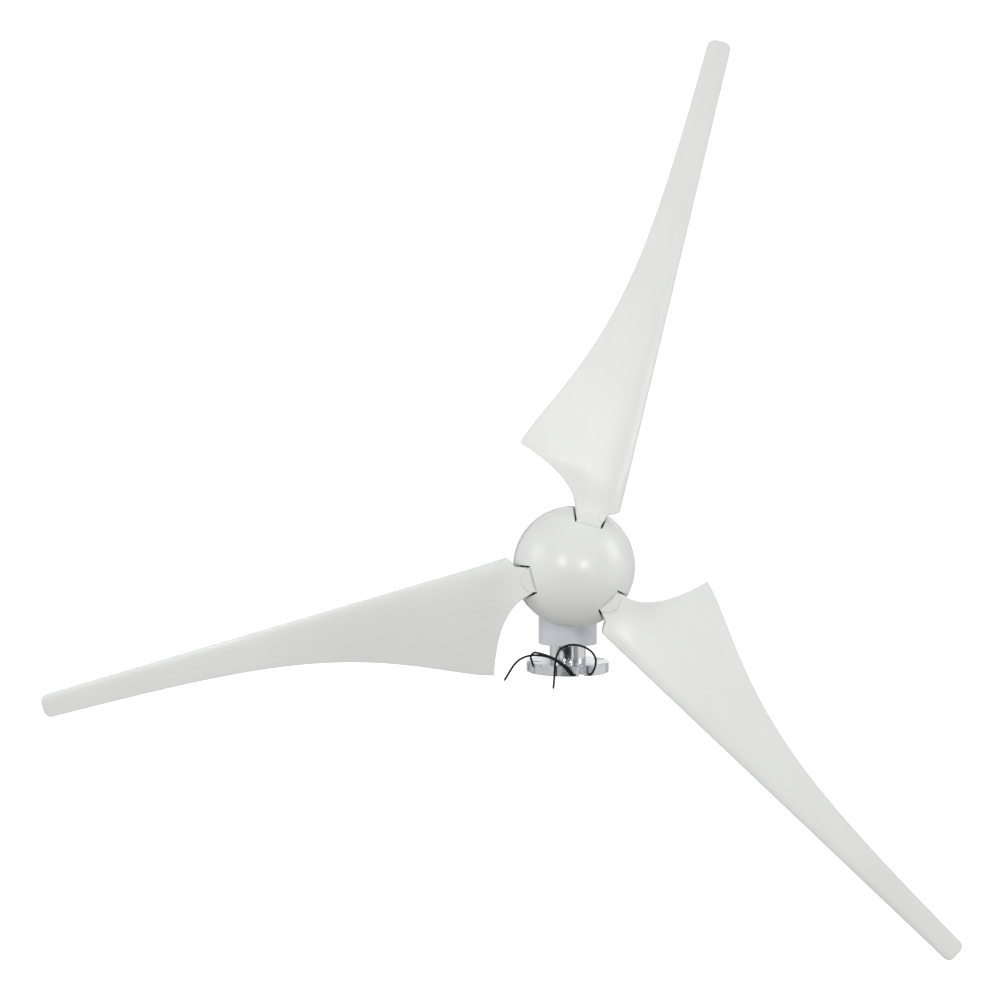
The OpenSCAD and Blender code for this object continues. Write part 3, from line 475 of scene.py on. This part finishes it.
MATERIALS = {
    "white_plastic": blade_plastic(),
    "nose_plastic": nose_plastic(),
    "white_paint": powder_coat(),
    "turned_aluminium": turned_metal(
        "turned_aluminium", (0.68, 0.69, 0.71), 0.10, 0.17, 330, strength=0.15, milled=SLOT_WALLS
    ),
    "steel_screws": plated_metal("steel_screws", (0.60, 0.61, 0.62), 0.22, 0.38),
    "bearing_steel": turned_metal(
        "bearing_steel", (0.62, 0.63, 0.65), 0.12, 0.22, 700, "Y", 0.2, 0.06
    ),
    "dark_steel": plated_metal(
        "dark_steel", (0.13, 0.13, 0.14), 0.34, 0.5, grime=(0.05, 0.045, 0.04)
    ),
    "shaft_steel": turned_metal("shaft_steel", (0.50, 0.51, 0.53), 0.2, 0.32, 500, "Y", 0.3, 0.1),
    "lamination": laminated_steel(),
    "magnet_plating": plated_metal("magnet_plating", (0.70, 0.69, 0.66), 0.14, 0.26, dirt=0.15),
    "copper": wound_copper(),
    "ring_brass": turned_metal("ring_brass", (0.72, 0.52, 0.22), 0.16, 0.28, 900, "Z", 0.3, 0.1),
    "insulator": moulded(
        "insulator", (0.46, 0.28, 0.13), 0.36, 0.5, 700, speck=(0.62, 0.45, 0.28)
    ),
    "carbon": moulded("carbon", (0.035, 0.035, 0.038), 0.45, 0.65, 1300, 0.00008),
    "black_rubber": moulded(
        "black_rubber", (0.022, 0.022, 0.023), 0.55, 0.75, 1100, 0.00008, sheen=0.15
    ),
    "lead_insulation": lead_pvc("lead_insulation", (0.006, 0.006, 0.0065)),
    "phase_insulation": lead_pvc("phase_insulation", (0.35, 0.05, 0.04)),
    "tinned_copper": plated_metal(
        "tinned_copper", (0.30, 0.295, 0.28), 0.25, 0.4, dirt=0.2, bevel=0.0001
    ),
}


node_slots = {part["node"]: part["material_slot"] for part in frame["record"]["subparts"]}
for name, obj in frame["nodes"].items():
    for place in obj.material_slots:
        place.material = MATERIALS[node_slots[name]]


def piece(mesh_or_curve, name, body, slot_name, replaced):
    """A new piece that rides on a body, with a record slot's finish, in place of CAD nodes."""
    obj = link(bpy.data.objects.new(name, mesh_or_curve))
    obj.data.materials.clear()
    obj.data.materials.append(MATERIALS[slot_name])
    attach(obj, body)
    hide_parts(*replaced)
    return obj


# ---------------------------------------------------------------- leads

LEAD_RADIUS = 1.25 * MM
BARE_LENGTH = 2 * MM
# How far the strands run back inside the insulation, and the bundle's radius
HIDDEN_LENGTH = 1.5 * MM
BUNDLE_RADIUS = LEAD_RADIUS * 0.6
# Points along each lead in millimetres, from its exit at the flange to its tip
LEAD_ROUTES = {
    "a": [
        (1.2, -48.2, 1.7), (0.9, -51.5, 1.8), (-0.8, -54.3, 4), (-4, -56.2, 8),
        (-8.5, -56.8, 12.8), (-13, -56, 16.4), (-18, -54, 19.6), (-23.5, -50.5, 22),
        (-29.5, -46.5, 23.4), (-35.3, -42, 23.8), (-41, -38.5, 23.6), (-47, -35, 22.6),
        (-53, -31, 20.4), (-58.5, -27.5, 17), (-63, -24, 12.5), (-66.8, -20.5, 7),
        (-70.2, -17.5, 1), (-72.6, -15.5, -3.4), (-75.5, -13.1, -8.7),
    ],
    "b": [
        (3.9, -48.1, 1.7), (3.6, -51.8, 1.8), (2, -55.5, 4.2), (-1.2, -58.5, 8.4),
        (-5.6, -59.8, 13), (-10.5, -59.8, 16.6), (-15.8, -58.4, 20), (-21, -56, 22.6),
        (-26.5, -52.8, 24.6), (-32.5, -49.2, 26.2), (-38, -45.6, 27.2), (-41.4, -43.3, 27.4),
        (-44.2, -40.9, 25.4), (-45.9, -39.1, 22), (-45, -38.1, 17.9), (-42.7, -36.9, 10.6),
    ],
    "c": [
        (21.2, -43.4, 1.7), (22.6, -46.3, 1.8), (24.6, -49.2, 4.4), (26.8, -51.2, 9.2),
        (28.4, -52, 15), (28.6, -51.8, 20), (27.2, -51.2, 24.6), (24, -50.4, 28.8),
        (19.4, -49.4, 32.4), (14, -48.4, 34.8), (8.2, -47.6, 36.3), (2.4, -47.2, 36.7),
        (-3.2, -47.2, 36), (-8.4, -47.6, 34), (-12.6, -48.2, 30.8), (-15.4, -48.8, 26.4),
        (-17, -49.2, 21.4), (-18, -49.5, 16), (-18.6, -49.8, 10.4), (-18.9, -50, 4.6),
        (-19.2, -50.3, -1.2), (-19.7, -50.5, -7), (-20.3, -50.8, -12.6),
    ],
}


def smooth_line(points, steps=5):
    """Points on one smooth curve through the given ones."""
    p = [2 * points[0] - points[1], *points, 2 * points[-1] - points[-2]]
    line = []
    for i in range(1, len(p) - 2):
        for k in range(steps):
            t = k / steps
            line.append(
                0.5 * (
                    2 * p[i] + (p[i + 1] - p[i - 1]) * t
                    + (2 * p[i - 1] - 5 * p[i] + 4 * p[i + 1] - p[i + 2]) * t * t
                    + (3 * p[i] - p[i - 1] - 3 * p[i + 1] + p[i + 2]) * t * t * t
                )
            )
    return [*line, points[-1]]


def strand_bundle(start, along, length, radius, strands=7, turns=1.6):
    """Fine wire strands twisted round a middle one, with uneven cut ends."""
    bm = bmesh.new()
    across = along.orthogonal().normalized()
    other = along.cross(across)
    wire = radius / 3
    steps, sides = 22, 8
    for n in range(strands):
        out = 0.0 if n == 0 else 2 * wire
        first = n * math.tau / (strands - 1)
        cut = length * (1 - 0.05 * ((n * 3) % 5) / 4)
        rings = []
        for i in range(steps + 1):
            t = i / steps
            angle = first + turns * math.tau * t
            swing = across * math.cos(angle) + other * math.sin(angle)
            middle = start + along * (cut * t) + swing * out
            rings.append([
                bm.verts.new(middle + (across * math.cos(a) + other * math.sin(a)) * wire * 0.96)
                for a in (k * math.tau / sides for k in range(sides))
            ])
        for a, b in zip(rings, rings[1:]):
            bridge(bm, a, b)
        bm.faces.new(rings[0][::-1])
        bm.faces.new(rings[-1])
    face_out(bm)
    return mesh_from(bm, "strands", smooth=True)


for letter, route in LEAD_ROUTES.items():
    points = [Vector(p) * MM for p in route]
    line = smooth_line(points)
    curve = bpy.data.curves.new(f"lead_{letter}_cable", "CURVE")
    curve.dimensions = "3D"
    spline = curve.splines.new("POLY")
    spline.points.add(len(line) - 1)
    for knot, place in zip(spline.points, line):
        knot.co = (*place, 1)
        knot.radius = 1
    spline.use_smooth = True
    curve.bevel_depth = LEAD_RADIUS
    curve.bevel_resolution = 4
    curve.use_fill_caps = True
    cable = piece(
        curve, f"lead_{letter}_cable", "mast_base", "lead_insulation", [f"lead_{letter}"]
    )
    heading = (points[-1] - points[-2]).normalized()
    start = points[-1] - heading * HIDDEN_LENGTH
    bundle = strand_bundle(start, heading, BARE_LENGTH + HIDDEN_LENGTH, BUNDLE_RADIUS)
    strands = piece(
        bundle, f"lead_{letter}_strands", "mast_base", "tinned_copper", [f"lead_end_{letter}"]
    )

# ---------------------------------------------------------------- blades

# Millimetres and degrees; stations are radii from the rotor axis
ROTOR_RADIUS = 600.0
TIP_WIDTH = 26.0
TIP_ROUND = 7
ROOT_PITCH = 13.5
TIP_PITCH = 3.0
BLADE_Y = -118.0
TAB_HALF = 8.0
WINDOW_ANGLE = 17.4
SLIT = 2.2
BOLT_STATIONS = (26.0, 38.0)
BOLT_HOLE_R = 3.3
DRILL_LENGTH = 30
ROOT_START = 18.5
# Up to here the root's sides follow the window's
ROOT_END = 64
# The leading edge steps out to LEAD_OUT between the root and here
LEAD_STEP_END = 73
LEAD_OUT = 30
# The trailing edge sweeps from the root's corner to SWEEP_OUT, on a curve that SWEEP_BEND pulls;
# each is (station, sideways)
TRAIL_SWEEP_END = 115
SWEEP_BEND = (95.6, 28.3)
SWEEP_OUT = (116, 92)
# From FALL_START on it falls by FALL_HEIGHT towards the tip
FALL_HEIGHT, FALL_START, FALL_LENGTH, FALL_POWER = 82, 117, 134, 1.34
# The flat tab turns into the airfoil, and the twist grows, from here on
TAB_END, TAB_BLEND, TWIST_RISE = 60, 50, 60
UNTWIST_START, UNTWIST_LENGTH = 90, ROTOR_RADIUS - 60
# Full thickness of the airfoil: far out, how much more at the root, and how fast that goes
THIN, ROOT_EXTRA, THINNING = 5, 11, 120
EDGE_ROUND = 1.2
# Where along the chord the airfoil is thickest
THICKEST_AT = 0.22
UV_PER_METRE = 10
SHARP_BLADE = math.radians(38)


def ease(x):
    """A smooth step from 0 to 1."""
    t = min(1.0, max(0.0, x))
    return t * t * (3 - 2 * t)


def radial(angle, r, y, s=0.0):
    """The point at radius r and sideways s on the arm at that angle, in metres.

    The arm is +X turned by the angle in the XZ plane, seen from the front.
    """
    c, n = math.cos(math.radians(angle)), math.sin(math.radians(angle))
    return Vector((r * c - s * n, y, r * n + s * c)) * MM + HUB_UP


def root_half(r):
    """Half the root's width, a slit clear of its window in the nose cone."""
    return max(10.0, min(r, ROOT_END) * math.tan(math.radians(WINDOW_ANGLE)) - SLIT)


def leading(r):
    """Sideways place of the leading edge."""
    if r <= ROOT_END:
        return -root_half(r)
    if r <= LEAD_STEP_END:
        turn = math.radians(90 * (r - ROOT_END) / (LEAD_STEP_END - ROOT_END))
        return -root_half(ROOT_END) - (LEAD_OUT - root_half(ROOT_END)) * math.sin(turn)
    taper = (r - LEAD_STEP_END) / (ROTOR_RADIUS - LEAD_STEP_END)
    return -LEAD_OUT + (LEAD_OUT - TIP_WIDTH / 2) * taper


def trailing(r):
    """Sideways place of the trailing edge: root, swept corner, then a long falling curve."""
    if r <= ROOT_END:
        return root_half(r)
    if r <= TRAIL_SWEEP_END:
        b = 2 * (SWEEP_BEND[0] - ROOT_END)
        a = 2 * SWEEP_BEND[0] - ROOT_END - SWEEP_OUT[0]
        t = (b - math.sqrt(b * b - 4 * a * (r - ROOT_END))) / (2 * a)
        corner = root_half(ROOT_END) * (1 - t) ** 2
        return corner + 2 * SWEEP_BEND[1] * t * (1 - t) + SWEEP_OUT[1] * t * t
    fallen = max(0.0, (r - FALL_START) / FALL_LENGTH) ** FALL_POWER
    return TIP_WIDTH / 2 - 0.5 + FALL_HEIGHT * math.exp(-fallen)


def pitch(r):
    """Twist in degrees: none in the root, most just beyond it, about TIP_PITCH at the tip."""
    swing = 1 - (1 - TIP_PITCH / ROOT_PITCH) * ease((r - UNTWIST_START) / UNTWIST_LENGTH)
    return ROOT_PITCH * ease((r - TAB_END) / TWIST_RISE) * swing


def airfoil(u):
    """Thickness along the chord, 1 at its thickest; u runs from leading to trailing edge."""
    if u < THICKEST_AT:
        return math.sqrt(1 - (1 - u / THICKEST_AT) ** 2 * 0.93)
    return 1 - 0.84 * ((u - THICKEST_AT) / (1 - THICKEST_AT)) ** 1.4


def half_thickness(r, u):
    """Half the blade's thickness: a flat tab at the root, an airfoil beyond."""
    k = ease((r - TAB_END) / TAB_BLEND)
    full = THIN + ROOT_EXTRA * math.exp(-max(0.0, r - ROOT_END) / THINNING)
    return (1 - k) * TAB_HALF + k * full / 2 * airfoil(u)


def tip_factor(r):
    """How much of the chord is left in the rounded tip."""
    d = (r - ROTOR_RADIUS + TIP_ROUND) / TIP_ROUND
    return 1.0 if d <= 0 else math.sqrt(1 - 0.75 * d * d)


def blade_section(r):
    """Closed ring of (y, s, edge) round the blade at radius r; edge is 1 along its edges."""
    middle = (leading(r) + trailing(r)) / 2
    half = (trailing(r) - leading(r)) / 2 * tip_factor(r)
    first, last = middle - half, middle + half
    chord = last - first
    turn_in = min(1.0, (ROTOR_RADIUS - r) / EDGE_ROUND + 0.35)
    round_a = min(EDGE_ROUND, half_thickness(r, 0.0))
    round_b = min(EDGE_ROUND, half_thickness(r, 1.0))
    places = [0.0, 0.07, 0.25, 0.6, 1.0]
    inner = [0.5 - 0.5 * math.cos(math.pi * k / 17) for k in range(1, 17)]
    spans = [round_a * p for p in places]
    spans += [round_a + (chord - round_a - round_b) * k for k in inner]
    spans += [chord - round_b * p for p in reversed(places)]
    front, back = [], []
    for d in spans:
        h = half_thickness(r, d / chord)
        if d < round_a:
            h -= round_a * (1 - math.sqrt(max(0.0, 1 - (1 - d / round_a) ** 2)))
        if chord - d < round_b:
            h -= round_b * (1 - math.sqrt(max(0.0, 1 - (1 - (chord - d) / round_b) ** 2)))
        h = max(h, 0.02) * turn_in
        s = first + d
        y = BLADE_Y + s * math.tan(math.radians(pitch(r)))
        # Rubbing fades away from the leading edge, the trailing edge and the tip
        edge = math.exp(-d / 2.2) + 0.6 * math.exp(-(chord - d) / 1.8)
        edge = max(edge, math.exp(-(ROTOR_RADIUS - r) / 3.0)) if r > 66 else 0.0
        front.append((y - h, s, edge))
        back.append((y + h, s, edge))
    return front + back[::-1]


def blade_mesh(angle):
    """One blade as a closed skin over its sections, with UVs that follow its span."""
    # Sections are closer together where the outline turns
    stations = [ROOT_START, 22, 30, 34, 42, 47, 52, 56, 60, 62, ROOT_END]
    stations += [ROOT_END + 0.75 * k for k in range(1, 13)]
    stations += [LEAD_STEP_END + 1.5 * k for k in range(1, 38)]
    stations += [128.5 + 5 * k for k in range(1, 93)]
    stations = [r for r in stations if r < ROTOR_RADIUS - TIP_ROUND - 1]
    stations += [592, 594, 595.5, 596.8, 598, 598.8, 599.4, 599.8, 600]
    bm = bmesh.new()
    edge_layer = bm.verts.layers.float.new("edge")
    uv = bm.loops.layers.uv.new("span")
    on_sheet = {}
    rings = []
    for r in stations:
        ring = []
        for y, s, edge in blade_section(r):
            v = bm.verts.new(radial(angle, r, y, s))
            v[edge_layer] = edge
            on_sheet[v] = (s * MM * UV_PER_METRE, r * MM * UV_PER_METRE)
            ring.append(v)
        rings.append(ring)
    for a, b in zip(rings, rings[1:]):
        bridge(bm, a, b)
    count = len(rings[0])
    for ring in (rings[0], rings[-1]):
        for k in range(count // 2 - 1):
            bm.faces.new((ring[k], ring[k + 1], ring[count - 2 - k], ring[count - 1 - k]))
    face_out(bm)
    for face in bm.faces:
        for loop in face.loops:
            loop[uv].uv = on_sheet[loop.vert]
    mesh = mesh_from(bm, "blade", smooth=True)
    mesh.set_sharp_from_angle(angle=SHARP_BLADE)
    return mesh


def cylinder_tool(centre, axis, radius, length, sides=48):
    """A closed cylinder used as a cutter."""
    bm = bmesh.new()
    turn = Vector((0, 0, 1)).rotation_difference(Vector(axis)).to_matrix().to_4x4()
    bmesh.ops.create_cone(
        bm, cap_ends=True, segments=sides, radius1=radius, radius2=radius, depth=length,
        matrix=Matrix.Translation(centre) @ turn,
    )
    return link(bpy.data.objects.new("cutter", mesh_from(bm, "cutter")))


def cut_away(mesh, cutters):
    """The mesh less each cutter, as a new mesh; the cutters are removed."""
    work = link(bpy.data.objects.new("work", mesh))
    for tool in cutters:
        step = work.modifiers.new("cut", "BOOLEAN")
        step.operation = "DIFFERENCE"
        step.solver = "EXACT"
        step.object = tool
    result = bpy.data.meshes.new_from_object(
        work.evaluated_get(bpy.context.evaluated_depsgraph_get())
    )
    for obj in [work, *cutters]:
        bpy.data.objects.remove(obj)
    return result


arms = [BLADE_ANGLE + 120 * k for k in range(3)]
for number, angle in enumerate(arms, 1):
    holes = [
        cylinder_tool(radial(angle, r, BLADE_Y), (0, 1, 0), BOLT_HOLE_R * MM, DRILL_LENGTH * MM)
        for r in BOLT_STATIONS
    ]
    mesh = cut_away(blade_mesh(angle), holes)
    mesh.set_sharp_from_angle(angle=SHARP_BLADE)
    piece(mesh, f"blade_{number}_moulding", "rotor", "white_plastic", [f"blade_{number}"])

# ---------------------------------------------------------------- nose cone

NOSE_R = 66.2
NOSE_DEPTH = 47.0
NOSE_WALL = 2.0
SKIRT = 4.0
NOSE_RIM_Y = -102.0
WINDOW_START = 48.5
NOSE_SCREW_R = 50.0
HUB_FRONT_Y = -110.0
DOME_STEPS = 40
SHARP_NOSE = math.radians(30)
# The dome is a cap of a ball: the ball's centre lies behind the dome's foot
BALL_DROP = (NOSE_R ** 2 - NOSE_DEPTH ** 2) / (2 * NOSE_DEPTH)
BALL_R = BALL_DROP + NOSE_DEPTH
BALL_Y = NOSE_RIM_Y - SKIRT + BALL_DROP


def nose_profile():
    """Closed outline of the shell as (radius, y), from its pole outside to its pole inside."""
    inner_r = NOSE_R - NOSE_WALL
    outside, inside = [], []
    for radius, foot, line in ((BALL_R, NOSE_R, outside), (BALL_R - NOSE_WALL, inner_r, inside)):
        low = math.acos(foot / radius)
        for k in range(DOME_STEPS + 1):
            a = math.pi / 2 + (low - math.pi / 2) * k / DOME_STEPS
            line.append((radius * math.cos(a) if k else 0.0, BALL_Y - radius * math.sin(a)))
    lip, soft = 0.5, 0.15
    rim = [
        (NOSE_R, NOSE_RIM_Y - lip - 1), (NOSE_R, NOSE_RIM_Y - lip),
        (NOSE_R - soft, NOSE_RIM_Y - soft), (NOSE_R - lip, NOSE_RIM_Y),
        (inner_r + lip, NOSE_RIM_Y), (inner_r + soft, NOSE_RIM_Y - soft),
        (inner_r, NOSE_RIM_Y - lip),
    ]
    return outside + rim + inside[::-1]


def turned_mesh(profile, sides=160):
    """A solid of revolution about the rotor axis; profile ends on the axis at both ends."""
    bm = bmesh.new()
    rings = []
    for r, y in profile:
        turns = [0.0] if r == 0 else [k * 360 / sides for k in range(sides)]
        rings.append([bm.verts.new(radial(angle, r, y)) for angle in turns])
    for a, b in zip(rings, rings[1:]):
        bridge(bm, a, b)
    face_out(bm)
    return mesh_from(bm, "turned")


def window_tool(angle):
    """The wedge that opens the shell over one blade root."""
    # It reaches well past the shell outward, forward and behind
    slope = math.tan(math.radians(WINDOW_ANGLE))
    far_r, fore_y, aft_y = NOSE_R + 8, -160, NOSE_RIM_Y + 5
    ends = [(WINDOW_START, 1), (far_r, 1), (far_r, -1), (WINDOW_START, -1)]
    bm = bmesh.new()
    rows = [
        [bm.verts.new(radial(angle, r, y, side * r * slope)) for r, side in ends]
        for y in (fore_y, aft_y)
    ]
    bm.faces.new(rows[0])
    bm.faces.new(rows[1][::-1])
    bridge(bm, *rows)
    face_out(bm)
    return link(bpy.data.objects.new("window", mesh_from(bm, "window")))


def boss_mesh(angle):
    """One screw boss inside the shell, with its pilot hole."""
    bm = bmesh.new()
    outer, pilot, soft, sides = 5.0, 1.7, 0.4, 32
    foot_y, pilot_y = HUB_FRONT_Y - 0.05, HUB_FRONT_Y - 9
    ball = BALL_R - NOSE_WALL / 2
    middle = radial(angle, NOSE_SCREW_R, 0)

    def ring(radius, y=None):
        """A ring of the boss at y, or where it grows out of the shell's wall."""
        row = []
        for k in range(sides):
            a = k * math.tau / sides
            p = middle + Vector((math.cos(a), 0, math.sin(a))) * radius * MM
            off = (p - HUB_UP) / MM
            depth = BALL_Y - math.sqrt(ball ** 2 - off.x ** 2 - off.z ** 2) if y is None else y
            row.append(bm.verts.new(Vector((p.x, depth * MM, p.z))))
        return row

    rows = [
        ring(outer), ring(outer, foot_y - soft), ring(outer - soft, foot_y),
        ring(pilot, foot_y), ring(pilot, pilot_y),
    ]
    for a, b in zip(rows, rows[1:]):
        bridge(bm, a, b)
    bm.faces.new(rows[0][::-1])
    bm.faces.new(rows[-1])
    face_out(bm)
    return mesh_from(bm, "boss")


def joined(meshes):
    """All the meshes' parts in one mesh."""
    bm = bmesh.new()
    for mesh in meshes:
        bm.from_mesh(mesh)
    return mesh_from(bm, "joined", smooth=True)


shell = cut_away(turned_mesh(nose_profile()), [window_tool(a) for a in arms])
shell = joined([shell, *[boss_mesh(a + 60) for a in arms]])
shell.set_sharp_from_angle(angle=SHARP_NOSE)
piece(shell, "nose_cone_shell", "rotor", "nose_plastic", ["nose_cone"])

# ---------------------------------------------------------------- floor, backdrop and light


def stage_material(name, colour, glow):
    """A matt finish with a glow of its own."""
    s = Shader(name)
    tone = s.mix(s.drift(1.3, 2), shade(colour, 0.995), colour)
    s.colour(tone)
    s.roughness(s.spread(s.noise(3, 3), 0.75, 0.85, 0.3, 0.7))
    s.set(Emission_Color=(1, 1, 1, 1), Emission_Strength=glow)
    return s.material


def studio_mesh(floor_z, half_width, top, radius=2.0, sides=96, steps=14):
    """A round floor that curves up into a wall on every side, like studio paper."""
    line = [(0.0, floor_z), (half_width * 0.4, floor_z), (half_width - radius, floor_z)]
    for k in range(1, steps + 1):
        a = math.pi / 2 * k / steps
        out = half_width - radius + radius * math.sin(a)
        line.append((out, floor_z + radius * (1 - math.cos(a))))
    line.append((half_width, top))
    bm = bmesh.new()
    rows = []
    for r, z in line:
        turns = [0.0] if r == 0 else [k * math.tau / sides for k in range(sides)]
        rows.append([bm.verts.new((r * math.cos(a), r * math.sin(a), z)) for a in turns])
    for a, b in zip(rows, rows[1:]):
        bridge(bm, a, b)
    return mesh_from(bm, "studio", smooth=True)


FLOOR_Z = -0.50
STUDIO_SIZE = 9.0
PAPER_GLOW = 0.72
floor = link(bpy.data.objects.new("studio_floor", studio_mesh(FLOOR_Z, STUDIO_SIZE, STUDIO_SIZE)))
floor.data.materials.append(stage_material("studio_paper", (0.93, 0.93, 0.93), PAPER_GLOW))
floor.visible_diffuse = False
floor.visible_glossy = False
floor.visible_shadow = False

# The light that comes from all round: dimmer from below than from above
SKY_RAMP = {"From Min": -0.6, "From Max": 0.5, "To Min": 0.41, "To Max": 0.59}
world = bpy.data.worlds.new("studio")
bpy.context.scene.world = world
world.use_nodes = True
sky = world.node_tree
ground = sky.nodes["Background"]
ground.inputs["Color"].default_value = (1, 1, 1, 1)
up = sky.nodes.new("ShaderNodeSeparateXYZ")
sky.links.new(sky.nodes.new("ShaderNodeTexCoord").outputs["Generated"], up.inputs[0])
ramp = sky.nodes.new("ShaderNodeMapRange")
for socket, value in SKY_RAMP.items():
    ramp.inputs[socket].default_value = value
sky.links.new(up.outputs["Z"], ramp.inputs["Value"])
sky.links.new(ramp.outputs["Result"], ground.inputs["Strength"])

# What the lights and the cards face
NOSE_MIDDLE = (0, -0.12, HUB_Z)
HOUSING_FOOT = (0, 0, 0.05)


def aimed(obj, place, target):
    """Puts a light or card at a place, facing the target and out of the camera's sight."""
    obj.location = place
    obj.rotation_euler = (Vector(target) - Vector(place)).to_track_quat("-Z", "Y").to_euler()
    obj.visible_camera = False


def card(name, place, half_size, glow=0.0):
    """A studio card, black unless it glows, seen only in reflections."""
    w, h = half_size
    mesh = bpy.data.meshes.new(name)
    mesh.from_pydata([(-w, -h, 0), (w, -h, 0), (w, h, 0), (-w, h, 0)], [], [(0, 1, 2, 3)])
    mesh.materials.append(stage_material(name + "_cloth", (0.02, 0.02, 0.02), glow))
    obj = link(bpy.data.objects.new(name, mesh))
    aimed(obj, place, HOUSING_FOOT)
    obj.visible_diffuse = False
    obj.visible_shadow = False


def area(name, place, size, watts):
    """A soft box aimed at the nose cone."""
    data = bpy.data.lights.new(name, "AREA")
    data.shape = "RECTANGLE"
    data.size, data.size_y = size
    data.energy = watts
    aimed(link(bpy.data.objects.new(name, data)), place, NOSE_MIDDLE)


area("key_left", (-2.35, -0.65, 1.0), (1.3, 1.3), 12)
area("key_right", (2.25, -0.45, 1.05), (1.0, 1.2), 13)
area("front_left", (-1.14, -2.6, 0.67), (0.42, 0.42), 15)
area("front_right", (0.64, -2.6, 0.39), (0.36, 0.36), 12)
area("overhead", (0.3, 0.3, 3.2), (2.6, 1.6), 6)
area("backlight", (0.3, 2.4, 1.2), (2.4, 1.4), 10)
card("flag_front", (-0.05, -2.4, -0.30), (0.85, 0.30))
card("bounce_front_left", (-1.90, -1.85, -0.28), (0.52, 0.32), 1.0)
card("bounce_front_right", (1.22, -2.30, -0.28), (0.22, 0.32), 1.1)
card("bounce_left", (-2.4, 0.1, -0.3), (1.6, 0.7), 0.80)
card("bounce_right", (2.4, 0.1, -0.3), (1.6, 0.7), 0.95)
card("bounce_back", (0.0, 2.6, 0.2), (2.0, 0.9), 0.90)

view = bpy.context.scene.view_settings
view.view_transform = "Standard"
view.look = "None"
